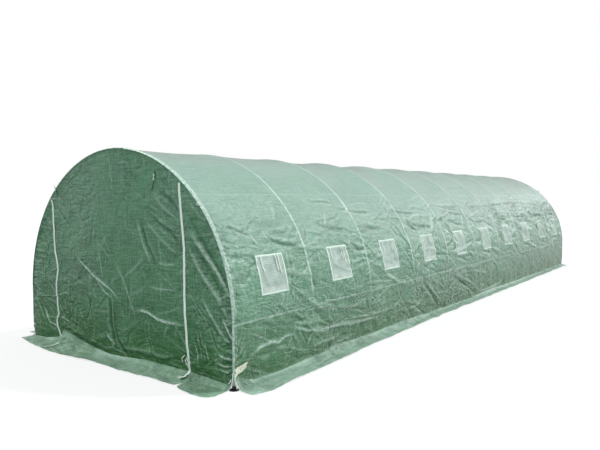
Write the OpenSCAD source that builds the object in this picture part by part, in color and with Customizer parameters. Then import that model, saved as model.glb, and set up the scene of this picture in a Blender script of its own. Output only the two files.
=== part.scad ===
// Polytunnel greenhouse: steel hoops and rails under a woven sheet with
// roll-up mesh windows, zipped ends and a skirt that lies on the ground.
// +Z up, the row of hoops runs along Y, the front end faces -Y.
// The origin is on the ground, in the middle of the plan.

/* [Tunnel] */
// Number of bays between hoops
bays = 10; // [3:1:12]
// Distance from one hoop to the next
bay_length = 1000; // [700:50:1300]
// Width over the sheet, at the ground
tunnel_width = 3000; // [2400:50:3800]
// Height of the straight foot of each side
leg_height = 500; // [350:10:640]
// Outer radius of the sheet over the shoulders
shoulder_radius = 1370; // [900:5:1400]
// Angle that the shoulder turns through before the flatter crown
shoulder_angle = 47; // [35:1:60]

/* [Frame] */
// Diameter of a hoop tube
hoop_tube = 25; // [20:1:32]
// Diameter of a long rail
rail_tube = 20; // [16:1:25]
// Gap between a hoop and the rail that crosses under it
crossing_gap = 1; // [1:0.5:4]
// Wall of the cross clamps and of the foot collars
clamp_wall = 2.5; // [1.5:0.5:4]
// Length of a clamp along the hoop
clamp_length = 40; // [30:5:60]
// Reach of a clamp along the rail, from the hoop's middle
clamp_reach = 45; // [30:5:60]
// Gap all round a tube in its clamp, which a bend takes part of
tube_fit = 0.3; // [0.2:0.05:0.5]
// Diameter of a foot plate
foot_plate = 80; // [60:2:110]
// Thickness of a foot plate
foot_plate_thickness = 3; // [2:0.5:5]
// Height of the collar on a foot plate
foot_collar_height = 30; // [15:5:60]

/* [Sheet] */
// Thickness that stands for the woven sheet
sheet_thickness = 3; // [2:0.5:5]
// Gap between the clamps and the sheet
sheet_clearance = 0.5; // [0.5:0.1:2]
// Width of the skirt on the ground
skirt_width = 210; // [100:10:300]
// Thickness of the skirt, with its folds
skirt_thickness = 6; // [5:0.5:12]

/* [Windows] */
// Width of a window opening
window_width = 310; // [200:10:500]
// Height of a window opening, along the sheet
window_height = 300; // [150:10:450]
// Height of the sill, along the sheet from the ground
window_sill = 695; // [650:5:900]
// Thickness of the mesh screen
mesh_thickness = 1.5; // [1:0.5:2]
// Width of the white tape round a window
window_tape = 16; // [10:2:40]
// Thickness of sewn tapes and zips
tape_thickness = 1.5; // [1:0.5:3]

/* [Ends] */
// Distance from the middle to the zip on the wider side panel
zip_offset_near = 920; // [600:10:1000]
// Distance from the middle to the other zip
zip_offset_far = 1080; // [600:10:1150]
// Width of a zip with its tape
zip_width = 22; // [16:2:50]

/* [Hidden] */
$fn = 64;
arc_facets = 240;

half_width = tunnel_width / 2;
tunnel_length = bays * bay_length;
hoop_bore = hoop_tube + 2 * tube_fit;
rail_bore = rail_tube + 2 * tube_fit;
hoop_sleeve = hoop_bore + 2 * clamp_wall;
rail_sleeve = rail_bore + 2 * clamp_wall;
// depth of the hoop's middle below the outer face of the sheet, and of
// the rail's middle below the hoop's
hoop_depth = sheet_thickness + sheet_clearance + hoop_sleeve / 2;
rail_depth = (hoop_tube + rail_tube) / 2 + crossing_gap;
// how far rails and clamps run past the end hoops
end_overhang = hoop_sleeve / 2;

// the arch: an upright leg, a shoulder arc, then a flatter crown arc,
// each tangent to the next
shoulder_x = half_width - shoulder_radius;
crown_radius = shoulder_radius + shoulder_x / cos(shoulder_angle);
crown_z = leg_height - shoulder_x * tan(shoulder_angle);
// the half of the crown on one side of the ridge
crown_angle = 90 - shoulder_angle;

// the sheet runs past the end hoops and the end panels close it
end_face = tunnel_length / 2 + hoop_depth;
// corners of a flat-sided outline that lies well inside the arch
core_inset = 50;
core_shoulder = [
    shoulder_x + (shoulder_radius - core_inset) * cos(shoulder_angle),
    leg_height + (shoulder_radius - core_inset) * sin(shoulder_angle)
];
arch_core = [
    [core_inset - half_width, core_inset], [half_width - core_inset, core_inset],
    core_shoulder,
    [0, crown_z + crown_radius - core_inset],
    [-core_shoulder[0], core_shoulder[1]]
];

foot_pocket_gap = 0.5;
tube_end_gap = 1;
overlap = 1;

HOOPS = [for (i = [0:bays]) str("hoop_", i < 9 ? "0" : "", i + 1)];

function hoop_y(i) = (i - bays / 2) * bay_length;
function bay_middle(i) = hoop_y(i) + bay_length / 2;

// [x, z, tangent angle from upright] of the right half of the centre line
base_place = [half_width - hoop_depth, leg_height, 0];
shoulder_place = [
    shoulder_x + (shoulder_radius - hoop_depth) * cos(shoulder_angle),
    leg_height + (shoulder_radius - hoop_depth) * sin(shoulder_angle),
    shoulder_angle
];
ridge_place = [0, crown_z + crown_radius - hoop_depth, 90];

// the left side and the back end are the right side and the front end
// turned half round
module opposite() { rotate([0, 0, 180]) children(); }

// turns a profile round an axis parallel to Y through (x, z), from one
// angle above +X on, starting at y = from_y
module turned(x, z, start, sweep, from_y) {
    translate([x, from_y, z])
        rotate([90, 0, 0])
            mirror([0, 0, 1])
                rotate_extrude(angle = sweep, start = start, $fn = arc_facets)
                    children();
}

// --- the frame -------------------------------------------------------

// moves a piece drawn round the origin to a place on a hoop, its Z along
// the hoop and its X outwards
module at_place(place, y) {
    translate([place[0], y, place[1]])
        rotate([0, -place[2], 0])
            children();
}

// a bar along a rail, between two distances from the origin
module along_rail(diameter, from_y, to_y) {
    translate([-rail_depth, from_y, 0])
        rotate([-90, 0, 0])
            cylinder(d = diameter, h = to_y - from_y);
}

// a hoop tube bent to part of an arc, a little short at both ends
module bent_tube(x, z, radius, start, sweep) {
    gap_angle = tube_end_gap * 180 / (PI * radius);
    turned(x, z, start + gap_angle, sweep - 2 * gap_angle, 0)
        translate([radius, 0])
            circle(d = hoop_tube);
}

// the right half of a hoop: a leg, a shoulder bend and half the crown,
// which meet inside the clamps
module half_hoop() {
    translate([base_place[0], 0, foot_plate_thickness])
        cylinder(d = hoop_tube, h = leg_height - foot_plate_thickness - tube_end_gap);
    bent_tube(shoulder_x, leg_height, shoulder_radius - hoop_depth, 0, shoulder_angle);
    bent_tube(0, crown_z, crown_radius - hoop_depth, shoulder_angle, crown_angle);
}

module hoop(i) {
    color("gainsboro")
        translate([0, hoop_y(i), 0]) {
            half_hoop();
            opposite() half_hoop();
        }
}

// a rail under the hoops, in lengths that meet inside the clamps
module rail(place) {
    color("gainsboro")
        for (i = [0:bays - 1])
            at_place(place, 0)
                along_rail(
                    rail_tube,
                    hoop_y(i) + (i == 0 ? -end_overhang : tube_end_gap),
                    hoop_y(i + 1) + (i == bays - 1 ? end_overhang : -tube_end_gap)
                );
}

// a cross clamp at each hoop: a sleeve on the hoop joined to a sleeve on
// the rail, both bored for their tubes
module clamps(place) {
    color("dimgray")
        for (i = [0:bays])
            at_place(place, hoop_y(i))
                difference() {
                    union() {
                        cylinder(d = hoop_sleeve, h = clamp_length, center = true);
                        along_rail(
                            rail_sleeve,
                            i == 0 ? -end_overhang : -clamp_reach,
                            i == bays ? end_overhang : clamp_reach
                        );
                    }
                    cylinder(d = hoop_bore, h = clamp_length + 2 * overlap, center = true);
                    along_rail(rail_bore, -clamp_reach - overlap, clamp_reach + overlap);
                }
}

// a round plate under each leg with a collar round the tube
module foot_plates() {
    color("black")
        for (i = [0:bays])
            translate([base_place[0], hoop_y(i), 0]) {
                cylinder(d = foot_plate, h = foot_plate_thickness);
                translate([0, 0, foot_plate_thickness])
                    difference() {
                        cylinder(d = hoop_sleeve, h = foot_collar_height);
                        translate([0, 0, -overlap])
                            cylinder(d = hoop_bore, h = foot_collar_height + 2 * overlap);
                    }
            }
}

// the room that the foot plates take under the sheet
module foot_pockets() {
    for (x = [-base_place[0], base_place[0]], i = [0:bays])
        translate([x, hoop_y(i), -overlap])
            cylinder(
                d = foot_plate + 2 * foot_pocket_gap,
                h = foot_plate_thickness + foot_pocket_gap + overlap
            );
}

// --- the sheet -------------------------------------------------------

// a curved strip of the right-hand shoulder, between two angles
module shoulder_strip(depth, thickness, start, sweep, from_y, length) {
    turned(shoulder_x, leg_height, start, sweep, from_y)
        translate([shoulder_radius - depth - thickness, 0])
            square([thickness, length]);
}

// what a window takes out of the right-hand shoulder, grown by a border
module window_patch(i, border, depth, thickness) {
    // degrees of shoulder for each millimetre along the sheet
    turn = 180 / (PI * shoulder_radius);
    width = window_width + 2 * border;
    shoulder_strip(
        depth, thickness,
        (window_sill - border - leg_height) * turn,
        (window_height + 2 * border) * turn,
        bay_middle(i) - width / 2, width
    );
}

module cover_wall() {
    color("mediumseagreen")
        difference() {
            translate([half_width - sheet_thickness, -end_face, 0])
                cube([sheet_thickness, 2 * end_face, leg_height]);
            foot_pockets();
        }
}

module cover_shoulder() {
    color("mediumseagreen")
        difference() {
            shoulder_strip(0, sheet_thickness, 0, shoulder_angle, -end_face, 2 * end_face);
            for (i = [0:bays - 1])
                window_patch(i, 0, -overlap, sheet_thickness + 2 * overlap);
        }
}

module cover_crown() {
    color("mediumaquamarine")
        turned(0, crown_z, shoulder_angle, crown_angle, -end_face)
            translate([crown_radius - sheet_thickness, 0])
                square([sheet_thickness, 2 * end_face]);
}

// the closed arch outline as a slab, drawn in from the sheet's outer face
module arch_slab(inset, from_y, thickness) {
    for (side = [0, 1])
        mirror([side, 0, 0]) {
            turned(shoulder_x, leg_height, 0, shoulder_angle, from_y)
                square([shoulder_radius - inset, thickness]);
            turned(0, crown_z, shoulder_angle, crown_angle, from_y)
                square([crown_radius - inset, thickness]);
        }
    translate([inset - half_width, from_y, 0])
        cube([tunnel_width - 2 * inset, thickness, leg_height]);
    // a core that laps over the joints between the pieces above
    translate([0, from_y, 0])
        rotate([90, 0, 0])
            mirror([0, 0, 1])
                linear_extrude(height = thickness)
                    polygon(arch_core);
}

// the piece of the end panel between two distances from the middle
module end_panel(from_x, to_x) {
    color("seagreen")
        difference() {
            intersection() {
                arch_slab(sheet_thickness, -end_face, sheet_thickness);
                translate([from_x, -end_face - overlap, 0])
                    cube([to_x - from_x, sheet_thickness + 2 * overlap, 2 * tunnel_width]);
            }
            foot_pockets();
        }
}

module end_door() { end_panel(-zip_offset_far, zip_offset_near); }
module end_side_near() { end_panel(zip_offset_near, half_width); }
module end_side_far() { end_panel(-half_width, -zip_offset_far); }

// height of the arch at a distance from the middle
function arch_z(x) =
    x < shoulder_x + shoulder_radius * cos(shoulder_angle)
        ? crown_z + sqrt(crown_radius ^ 2 - x ^ 2)
        : leg_height + sqrt(shoulder_radius ^ 2 - (x - shoulder_x) ^ 2);

module end_zips() {
    color("white")
        for (x = [-zip_offset_far, zip_offset_near])
            translate([x - zip_width / 2, -end_face - tape_thickness, skirt_thickness])
                cube([
                    zip_width,
                    tape_thickness,
                    arch_z(abs(x) + zip_width / 2) - sheet_thickness - skirt_thickness
                ]);
}

module side_skirt() {
    color("darkseagreen")
        difference() {
            translate([half_width, -end_face, 0])
                cube([skirt_width, 2 * end_face, skirt_thickness]);
            foot_pockets();
        }
}

module end_skirt() {
    color("darkseagreen")
        difference() {
            translate([-half_width, -end_face - skirt_width, 0])
                cube([tunnel_width, skirt_width, skirt_thickness]);
            foot_pockets();
        }
}

// --- the windows -----------------------------------------------------

module windows() {
    depth = (sheet_thickness - mesh_thickness) / 2;
    color("honeydew")
        for (i = [0:bays - 1])
            window_patch(i, 0, depth, mesh_thickness);
}

module window_tapes() {
    color("white")
        for (i = [0:bays - 1])
            difference() {
                window_patch(i, window_tape, -tape_thickness, tape_thickness);
                window_patch(i, 0, -tape_thickness - overlap, tape_thickness + 2 * overlap);
            }
}

for (i = [0:bays])
    hoop(i);
rail(ridge_place);  // ridge_rail
opposite() rail(shoulder_place);  // shoulder_rail_left
rail(shoulder_place);  // shoulder_rail_right
opposite() rail(base_place);  // base_rail_left
rail(base_place);  // base_rail_right
clamps(ridge_place);  // ridge_clamps
opposite() clamps(shoulder_place);  // shoulder_clamps_left
clamps(shoulder_place);  // shoulder_clamps_right
opposite() clamps(base_place);  // base_clamps_left
clamps(base_place);  // base_clamps_right
opposite() foot_plates();  // foot_plates_left
foot_plates();  // foot_plates_right
opposite() cover_crown();  // cover_crown_left
cover_crown();  // cover_crown_right
opposite() cover_shoulder();  // cover_shoulder_left
cover_shoulder();  // cover_shoulder_right
opposite() cover_wall();  // cover_wall_left
cover_wall();  // cover_wall_right
end_door();  // front_door
end_side_far();  // front_side_left
end_side_near();  // front_side_right
opposite() end_door();  // back_door
opposite() end_side_near();  // back_side_left
opposite() end_side_far();  // back_side_right
opposite() side_skirt();  // skirt_left
side_skirt();  // skirt_right
end_skirt();  // skirt_front
opposite() end_skirt();  // skirt_back
opposite() windows();  // windows_left
windows();  // windows_right
opposite() window_tapes();  // window_tapes_left
window_tapes();  // window_tapes_right
end_zips();  // front_zips
opposite() end_zips();  // back_zips
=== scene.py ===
# Looks of a polytunnel greenhouse: the woven sheet with its folds, its mesh
# windows, zips and ties, and the finish of the steel frame under it.
import math

import bpy
import numpy as np
from mathutils import Matrix, Vector


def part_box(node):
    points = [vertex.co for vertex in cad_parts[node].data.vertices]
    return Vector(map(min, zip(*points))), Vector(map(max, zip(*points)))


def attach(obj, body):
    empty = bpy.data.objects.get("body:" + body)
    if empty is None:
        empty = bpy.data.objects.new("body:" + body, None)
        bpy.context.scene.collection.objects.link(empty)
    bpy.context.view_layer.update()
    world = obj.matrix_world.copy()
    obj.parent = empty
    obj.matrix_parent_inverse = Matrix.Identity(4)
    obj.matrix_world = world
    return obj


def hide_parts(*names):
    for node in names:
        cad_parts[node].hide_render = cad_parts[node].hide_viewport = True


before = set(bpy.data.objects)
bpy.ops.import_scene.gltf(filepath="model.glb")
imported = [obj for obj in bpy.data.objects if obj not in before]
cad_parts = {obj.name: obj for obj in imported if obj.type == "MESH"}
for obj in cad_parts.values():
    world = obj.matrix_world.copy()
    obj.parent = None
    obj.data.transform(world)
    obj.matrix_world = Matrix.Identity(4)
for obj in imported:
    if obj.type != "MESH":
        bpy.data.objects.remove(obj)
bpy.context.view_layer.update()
bpy.ops.object.select_all(action="DESELECT")

# --- sizes, in metres ------------------------------------------------------

wall_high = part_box("cover_wall_right")[1]
HALF_WIDTH = wall_high.x
LEG = wall_high.z
END = wall_high.y
BAYS = 10
BAY = (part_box("hoop_11")[0].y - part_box("hoop_01")[0].y) / BAYS
FIRST_HOOP = -BAYS * BAY / 2
HALF_SHEET = 0.0015  # from the outer face to the middle of the sheet

# the arch: an upright leg, a shoulder arc and a flatter crown arc
SHOULDER_RADIUS = 1.37
SHOULDER_TURN = math.radians(47)
SHOULDER_X = HALF_WIDTH - SHOULDER_RADIUS
CROWN_RADIUS = SHOULDER_RADIUS + SHOULDER_X / math.cos(SHOULDER_TURN)
CROWN_Z = LEG - SHOULDER_X * math.tan(SHOULDER_TURN)
SHOULDER = LEG + SHOULDER_RADIUS * SHOULDER_TURN
RIDGE = SHOULDER + CROWN_RADIUS * (math.pi / 2 - SHOULDER_TURN)
ARC = 2 * RIDGE

# windows, by distances along the sheet from the ground
WINDOW_WIDTH = 0.31
SILL, LINTEL = 0.695, 0.995
BORDER = 0.016

# the back end is the front turned half round, so its x and y change sign
ENDS = (("front", 1), ("back", -1))

# --- small tools -----------------------------------------------------------


def ramp(x, start, end):
    """0 before start, 1 after end, and smooth between."""
    t = np.clip((np.asarray(x, float) - start) / (end - start), 0, 1)
    return t * t * (3 - 2 * t)


def hump(x, middle, width):
    """1 in the middle, falling smoothly to 0 on both sides."""
    return np.exp(-(((x - middle) / width) ** 2))


def along(x, points):
    """A smooth line through (place, value) points."""
    places, values = zip(*points)
    x = np.asarray(x, float)
    near = [np.interp(x + d, places, values) for d in (-0.03, -0.015, 0, 0.015, 0.03)]
    return sum(near) / len(near)


def steps(knots, spacing):
    """Grid lines through all the knots, with about spacing(place) between."""
    lines = [knots[0]]
    for start, end in zip(knots, knots[1:]):
        count = max(1, round((end - start) / spacing((start + end) / 2)))
        lines += list(np.linspace(start, end, count + 1)[1:])
    return np.array(lines)


LATTICE = 128  # how many units the noise goes on before it repeats
SWING = 1.6  # brings it to between about -1 and 1


def waves(u, v, seed):
    """Smooth noise from about -1 to 1, with a wave for each unit or so."""
    turn = np.random.default_rng(seed).uniform(0, 2 * np.pi, (LATTICE, LATTICE))
    cell_u, cell_v = np.floor(u).astype(int), np.floor(v).astype(int)
    part_u, part_v = u - cell_u, v - cell_v
    corners = []
    for du in (0, 1):
        for dv in (0, 1):
            a = turn[(cell_u + du) % LATTICE, (cell_v + dv) % LATTICE]
            corners.append(np.cos(a) * (part_u - du) + np.sin(a) * (part_v - dv))
    fade_u = part_u**3 * (part_u * (part_u * 6 - 15) + 10)
    fade_v = part_v**3 * (part_v * (part_v * 6 - 15) + 10)
    near = corners[0] + (corners[1] - corners[0]) * fade_v
    far = corners[2] + (corners[3] - corners[2]) * fade_v
    return SWING * (near + (far - near) * fade_u)


def crumple(u, v, size, seed, layers=3):
    """Facets like those of crushed sheet: sharp ridges and valleys by turns,
    each layer half as big as the one before and turned against it."""
    total = np.zeros_like(u)
    for k in range(layers):
        a = 0.5 + 1.1 * k
        across = (u * math.cos(a) - v * math.sin(a)) * 2**k / size
        down = (u * math.sin(a) + v * math.cos(a)) * 2**k / size
        ridges = 0.4 - np.abs(waves(across, down, seed + k))
        total += (1 if k % 2 == 0 else -1) * ridges / 2**k
    return total


class Cloth:
    """A sheet on a grid of u and v. out is how far it stands out from its
    taut place, pale how far it is whitened, partly the film's own whitening
    and partly a painted highlight, or below 0 how much painted shade it has,
    and slack how crumpled it is."""

    def __init__(self, u, v):
        self.u, self.v = np.meshgrid(u, v, indexing="ij")
        self.out = np.zeros_like(self.u)
        self.pale = np.zeros_like(self.u)
        self.slack = np.ones_like(self.u)

    def whiten(self, sharp, amount):
        """Whitens the ridges that bend more sharply than 1 / sharp metres: partly
        the film's stress whitening, partly a painted highlight along them.
        """
        along_u = np.gradient(np.gradient(self.out, axis=0), axis=0)
        along_v = np.gradient(np.gradient(self.out, axis=1), axis=1)
        step_u = np.abs(np.gradient(self.u, axis=0)) + 1e-6
        step_v = np.abs(np.gradient(self.v, axis=1)) + 1e-6
        bend = np.maximum(-along_u / step_u**2, -along_v / step_v**2)
        self.lighten(amount * ramp(bend, 0.35 * sharp, 1.8 * sharp))

    def lighten(self, amount):
        """Pales the sheet by an amount, except where it is already paler or
        carries more painted shade.
        """
        self.pale = np.where(amount > np.abs(self.pale), amount, self.pale)

    def marks(self):
        """What the material reads at each point of the sheet."""
        return {"pale": self.pale, "slack": self.slack}

    def fold(self, path, width, height, pale=0.0):
        """A sharp-topped fold along a path of (u, v), fading at its ends."""
        path = np.array(path, float)
        low, high = path.min(0) - width - 0.02, path.max(0) + width + 0.02
        near = (self.u > low[0]) & (self.u < high[0])
        near &= (self.v > low[1]) & (self.v < high[1])
        if not near.any():
            return
        u, v = self.u[near], self.v[near]
        lengths = np.maximum(np.linalg.norm(np.diff(path, axis=0), axis=1), 1e-6)
        starts = np.concatenate([[0], np.cumsum(lengths)])
        nearest, place = np.full(u.shape, 9.0), np.zeros(u.shape)
        for p, q, length, start in zip(path, path[1:], lengths, starts):
            d = q - p
            t = np.clip(((u - p[0]) * d[0] + (v - p[1]) * d[1]) / length**2, 0, 1)
            away = np.hypot(u - p[0] - t * d[0], v - p[1] - t * d[1])
            place = np.where(away < nearest, start + t * length, place)
            nearest = np.minimum(nearest, away)
        total = starts[-1]
        taper = ramp(np.minimum(place, total - place), -0.02 * total, 0.3 * total)
        top = np.maximum(0, 1 - nearest / width)
        self.out[near] += height * top**1.4 * taper
        reach = 0.007 + 0.11 * width if pale < 0 else 0.30 * width
        wear_and_painted_light = pale * np.clip(1.4 - nearest / reach, 0, 1) * taper
        self.pale[near] = np.where(np.abs(wear_and_painted_light) > np.abs(self.pale[near]), wear_and_painted_light,
                                   self.pale[near])

    def scatter(self, rng, count, places, lengths, lean, widths, heights, pale):
        """Short random creases. places and lean draw from rng: a (u, v) start
        and an angle from u. Creases that stand out whiten, partly as a painted
        highlight, and those that sink in get painted shade."""
        for _ in range(count):
            p = np.array(places(rng))
            angle, length = lean(rng), rng.uniform(*lengths)
            path = [p]
            for _ in range(3):
                angle += rng.normal(0, 0.2)
                p = p + length / 3 * np.array([math.cos(angle), math.sin(angle)])
                path.append(p)
            sense = rng.choice([1, -1])
            self.fold(path, rng.uniform(*widths), sense * rng.uniform(*heights),
                      sense * pale * rng.uniform(0.2, 1))


def add_mesh(name, points, faces, uv, marks=None):
    """A mesh object from points, faces, a UV for each point and attributes."""
    used, index = np.unique(faces.ravel(), return_inverse=True)
    faces = index.reshape(faces.shape)
    mesh = bpy.data.meshes.new(name)
    mesh.from_pydata(points[used].tolist(), [], faces.tolist())
    layer = mesh.uv_layers.new(name="UVMap")
    layer.uv.foreach_set("vector", uv[used][faces.ravel()].astype("f").ravel())
    for mark, values in (marks or {}).items():
        attribute = mesh.attributes.new(mark, "FLOAT", "POINT")
        attribute.data.foreach_set("value", values[used].astype("f"))
    mesh.shade_smooth()
    obj = bpy.data.objects.new(name, mesh)
    bpy.context.scene.collection.objects.link(obj)
    return obj


def add_grid(name, points, uv, marks=None, keep=None, flip=False):
    """A sheet of quads over a (rows, columns, 3) grid of points."""
    rows, columns = points.shape[:2]
    index = np.arange(rows * columns).reshape(rows, columns)
    quads = [index[:-1, :-1], index[1:, :-1], index[1:, 1:], index[:-1, 1:]]
    if flip:
        quads = quads[::-1]
    faces = np.stack(quads, -1)
    faces = faces.reshape(-1, 4) if keep is None else faces[keep]
    flat = {k: v.ravel() for k, v in (marks or {}).items()}
    return add_mesh(name, points.reshape(-1, 3), faces, uv.reshape(-1, 2), flat)


def wrap_up(piece, material, replaced=()):
    """Gives a piece its body, its material and what it stands for."""
    piece.data.materials.append(material)
    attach(piece, "root")
    if replaced:
        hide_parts(*replaced)


# --- the sheet over the hoops ----------------------------------------------


def arch(s):
    """x, z and outward normal of the taut sheet, s along it from the ground
    on the right to the ground on the left."""
    up = np.minimum(s, ARC - s)
    side = np.where(s <= RIDGE, 1.0, -1.0)
    turn = np.where(
        up < SHOULDER,
        np.maximum(0, up - LEG) / SHOULDER_RADIUS,
        SHOULDER_TURN + (up - SHOULDER) / CROWN_RADIUS,
    )
    crown = up >= SHOULDER
    x = np.where(
        crown, CROWN_RADIUS * np.cos(turn), SHOULDER_X + SHOULDER_RADIUS * np.cos(turn)
    )
    z = np.where(
        crown,
        CROWN_Z + CROWN_RADIUS * np.sin(turn),
        np.where(up < LEG, up, LEG + SHOULDER_RADIUS * np.sin(turn)),
    )
    return x * side, z, np.cos(turn) * side, np.sin(turn)


def arch_top(x):
    """Height of the sheet's arch at a distance from the middle."""
    x = np.minimum(np.abs(x), HALF_WIDTH)
    joint = SHOULDER_X + SHOULDER_RADIUS * math.cos(SHOULDER_TURN)
    crown = CROWN_Z + np.sqrt(np.maximum(0, CROWN_RADIUS**2 - x**2))
    inner = np.maximum(0, SHOULDER_RADIUS**2 - np.maximum(0, x - SHOULDER_X) ** 2)
    return np.where(x < joint, crown, LEG + np.sqrt(inner))


# how far the sheet sags between the hoops, bay by bay from the front, and
# the most that it may come in with its folds
SAG = (0.013, 0.015, 0.026, 0.028, 0.016, 0.012, 0.010, 0.011, 0.012, 0.010)
DEEPEST_SAG = 0.030

# folds of the cover: path of (place along the tunnel, height along the sheet),
# width, height and how far it has whitened, partly as a painted highlight;
# with 0 it gets painted shade along it instead
COVER_FOLDS = [
    ([(-4.92, 1.29), (-4.82, 1.27), (-4.64, 1.19)], 0.022, -0.011, 0.0),
    ([(-4.66, 1.24), (-4.62, 1.16), (-4.58, 1.06)], 0.030, 0.006, 0.5),
    ([(-4.47, 1.24), (-4.45, 1.13)], 0.022, 0.006, 0.3),
    ([(-4.43, 1.24), (-4.40, 1.15)], 0.022, 0.005, 0.2),
    ([(-4.47, 1.20), (-4.38, 1.12), (-4.22, 1.07), (-4.02, 1.05)], 0.045, -0.012, 0.0),
    ([(-4.42, 1.16), (-4.25, 1.11), (-4.05, 1.09)], 0.030, 0.007, 0.2),
    ([(-4.34, 0.83), (-4.15, 0.80), (-3.98, 0.78)], 0.050, 0.008, 0.3),
    ([(-4.98, 1.01), (-4.86, 0.98), (-4.74, 0.99)], 0.025, 0.007, 0.4),
    ([(-4.40, 0.67), (-4.42, 0.61), (-4.46, 0.56)], 0.020, 0.005, 0.5),
    ([(-4.34, 0.68), (-4.36, 0.60), (-4.40, 0.53)], 0.020, 0.004, 0.3),
    ([(-4.90, 0.43), (-4.74, 0.37), (-4.58, 0.29), (-4.42, 0.22)], 0.020, 0.004, 0.5),
    ([(-4.88, 0.16), (-4.84, 0.22), (-4.71, 0.27), (-4.55, 0.28), (-4.48, 0.26),
      (-4.39, 0.30), (-4.28, 0.29), (-4.21, 0.25)], 0.032, 0.013, 0.8),
    ([(-4.33, 0.36), (-4.23, 0.34), (-4.09, 0.29), (-3.94, 0.26), (-3.74, 0.23)],
     0.030, 0.010, 0.7),
    ([(-4.26, 0.39), (-4.10, 0.35), (-3.95, 0.36), (-3.85, 0.33)], 0.024, 0.008, 0.5),
    ([(-4.55, 0.22), (-4.40, 0.21), (-4.20, 0.14), (-4.00, 0.10)], 0.018, 0.004, 0.4),
    ([(-4.10, 0.13), (-4.06, 0.22), (-3.98, 0.27)], 0.026, 0.008, 0.6),
    ([(-4.05, 0.30), (-3.89, 0.26), (-3.64, 0.25), (-3.39, 0.22), (-3.10, 0.22),
      (-2.78, 0.20)], 0.032, 0.011, 0.7),
    ([(-3.48, 0.29), (-3.20, 0.27), (-2.97, 0.24), (-2.80, 0.28)], 0.026, 0.008, 0.5),
    ([(-4.15, 0.62), (-3.98, 0.50), (-3.70, 0.42), (-3.40, 0.40)], 0.045, 0.008, 0.2),
    ([(-3.60, 1.54), (-3.31, 1.53), (-3.13, 1.48)], 0.028, -0.009, 0.0),
    ([(-3.23, 1.43), (-3.03, 1.41), (-2.90, 1.38), (-2.46, 1.36)], 0.030, -0.012, 0.0),
    ([(-2.16, 1.36), (-1.95, 1.35), (-1.80, 1.33), (-1.35, 1.32)], 0.028, -0.010, 0.0),
    ([(-3.74, 1.33), (-3.61, 1.25), (-3.45, 1.20), (-3.22, 1.17)], 0.060, -0.014, 0.0),
    ([(-3.72, 1.22), (-3.50, 1.14), (-3.20, 1.11)], 0.040, 0.009, 0.1),
    ([(-2.90, 1.20), (-2.70, 1.16), (-2.44, 1.15)], 0.050, -0.012, 0.0),
    ([(-3.28, 0.98), (-3.10, 0.94), (-2.95, 0.94)], 0.045, -0.010, 0.0),
    ([(-1.90, 1.20), (-1.65, 1.15), (-1.35, 1.13)], 0.050, -0.011, 0.0),
    ([(-0.86, 1.45), (-0.31, 1.35), (-0.02, 1.31)], 0.040, -0.013, 0.0),
    ([(-0.80, 1.37), (-0.40, 1.28), (0.05, 1.24)], 0.040, -0.010, 0.0),
    ([(0.20, 1.83), (0.55, 1.81), (0.93, 1.81)], 0.030, -0.008, 0.0),
    ([(0.20, 1.35), (1.18, 1.38), (2.39, 1.43), (3.66, 1.43)], 0.035, -0.010, 0.0),
    ([(-1.00, 0.48), (-0.70, 0.35), (-0.33, 0.21), (0.06, 0.02)], 0.040, -0.016, 0.0),
    ([(-0.90, 0.50), (-0.60, 0.38), (-0.20, 0.24), (0.10, 0.10)], 0.035, 0.010, 0.3),
    ([(0.02, 0.12), (0.34, 0.06), (0.60, 0.07), (0.90, 0.09), (1.25, 0.16)],
     0.035, 0.014, 0.7),
    ([(2.45, 0.66), (2.80, 0.58), (3.12, 0.51)], 0.040, 0.014, 0.5),
    ([(-1.78, 0.46), (-1.50, 0.25), (-1.29, 0.06)], 0.045, -0.013, 0.0),
    ([(-1.68, 0.44), (-1.42, 0.26), (-1.20, 0.10)], 0.035, 0.010, 0.5),
    ([(-2.20, 0.18), (-1.98, 0.18), (-1.80, 0.25)], 0.030, 0.010, 0.6),
    ([(-2.75, 0.66), (-2.40, 0.52), (-2.10, 0.47)], 0.035, 0.009, 0.5),
]


# how high above the ground the skirt turns outwards: (place, height)
COVER_FOOT = [(-5.02, 0.095), (-4.92, 0.07), (-4.78, 0.03), (-4.6, 0.022), (-4.2, 0.03),
              (-3.9, 0.04), (-3.65, 0.07), (-3.3, 0.06), (-2.9, 0.045), (-2.3, 0.06),
              (-1.6, 0.04), (-0.4, 0.03), (0.6, 0.05), (2.0, 0.03), (5.02, 0.02)]


def foot_height(y):
    """How high above the ground the skirt starts to turn outwards."""
    return along(y, COVER_FOOT) + 0.008 * waves(y * 2.3, 0 * y, 31)


FIRST_DRAPED = 3  # the bay from which the windows hang badly
# drapes round a far window: (start, stop, width, height, whitening, partly
# a painted highlight; below 0, painted shade), with both ends as (along
# from the window's middle, height along the sheet)
WINDOW_DRAPES = (
    ((0.17, 1.01), (0.44, 1.30), 0.055, 0.017, 0.6),
    ((-0.17, 1.01), (-0.42, 1.36), 0.055, 0.016, 0.5),
    ((-0.40, 1.13), (0.36, 1.09), 0.040, -0.015, -0.7),
    ((-0.44, 1.22), (0.20, 1.30), 0.045, 0.014, 0.7),
    ((-0.10, 1.42), (0.46, 1.36), 0.040, -0.013, -0.8),
    ((0.18, 0.72), (0.46, 0.60), 0.050, 0.014, 0.4),
    ((-0.20, 0.90), (-0.46, 0.80), 0.040, -0.013, -0.6),
    ((-0.30, 0.64), (0.16, 0.60), 0.040, -0.012, -0.6),
)


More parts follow.
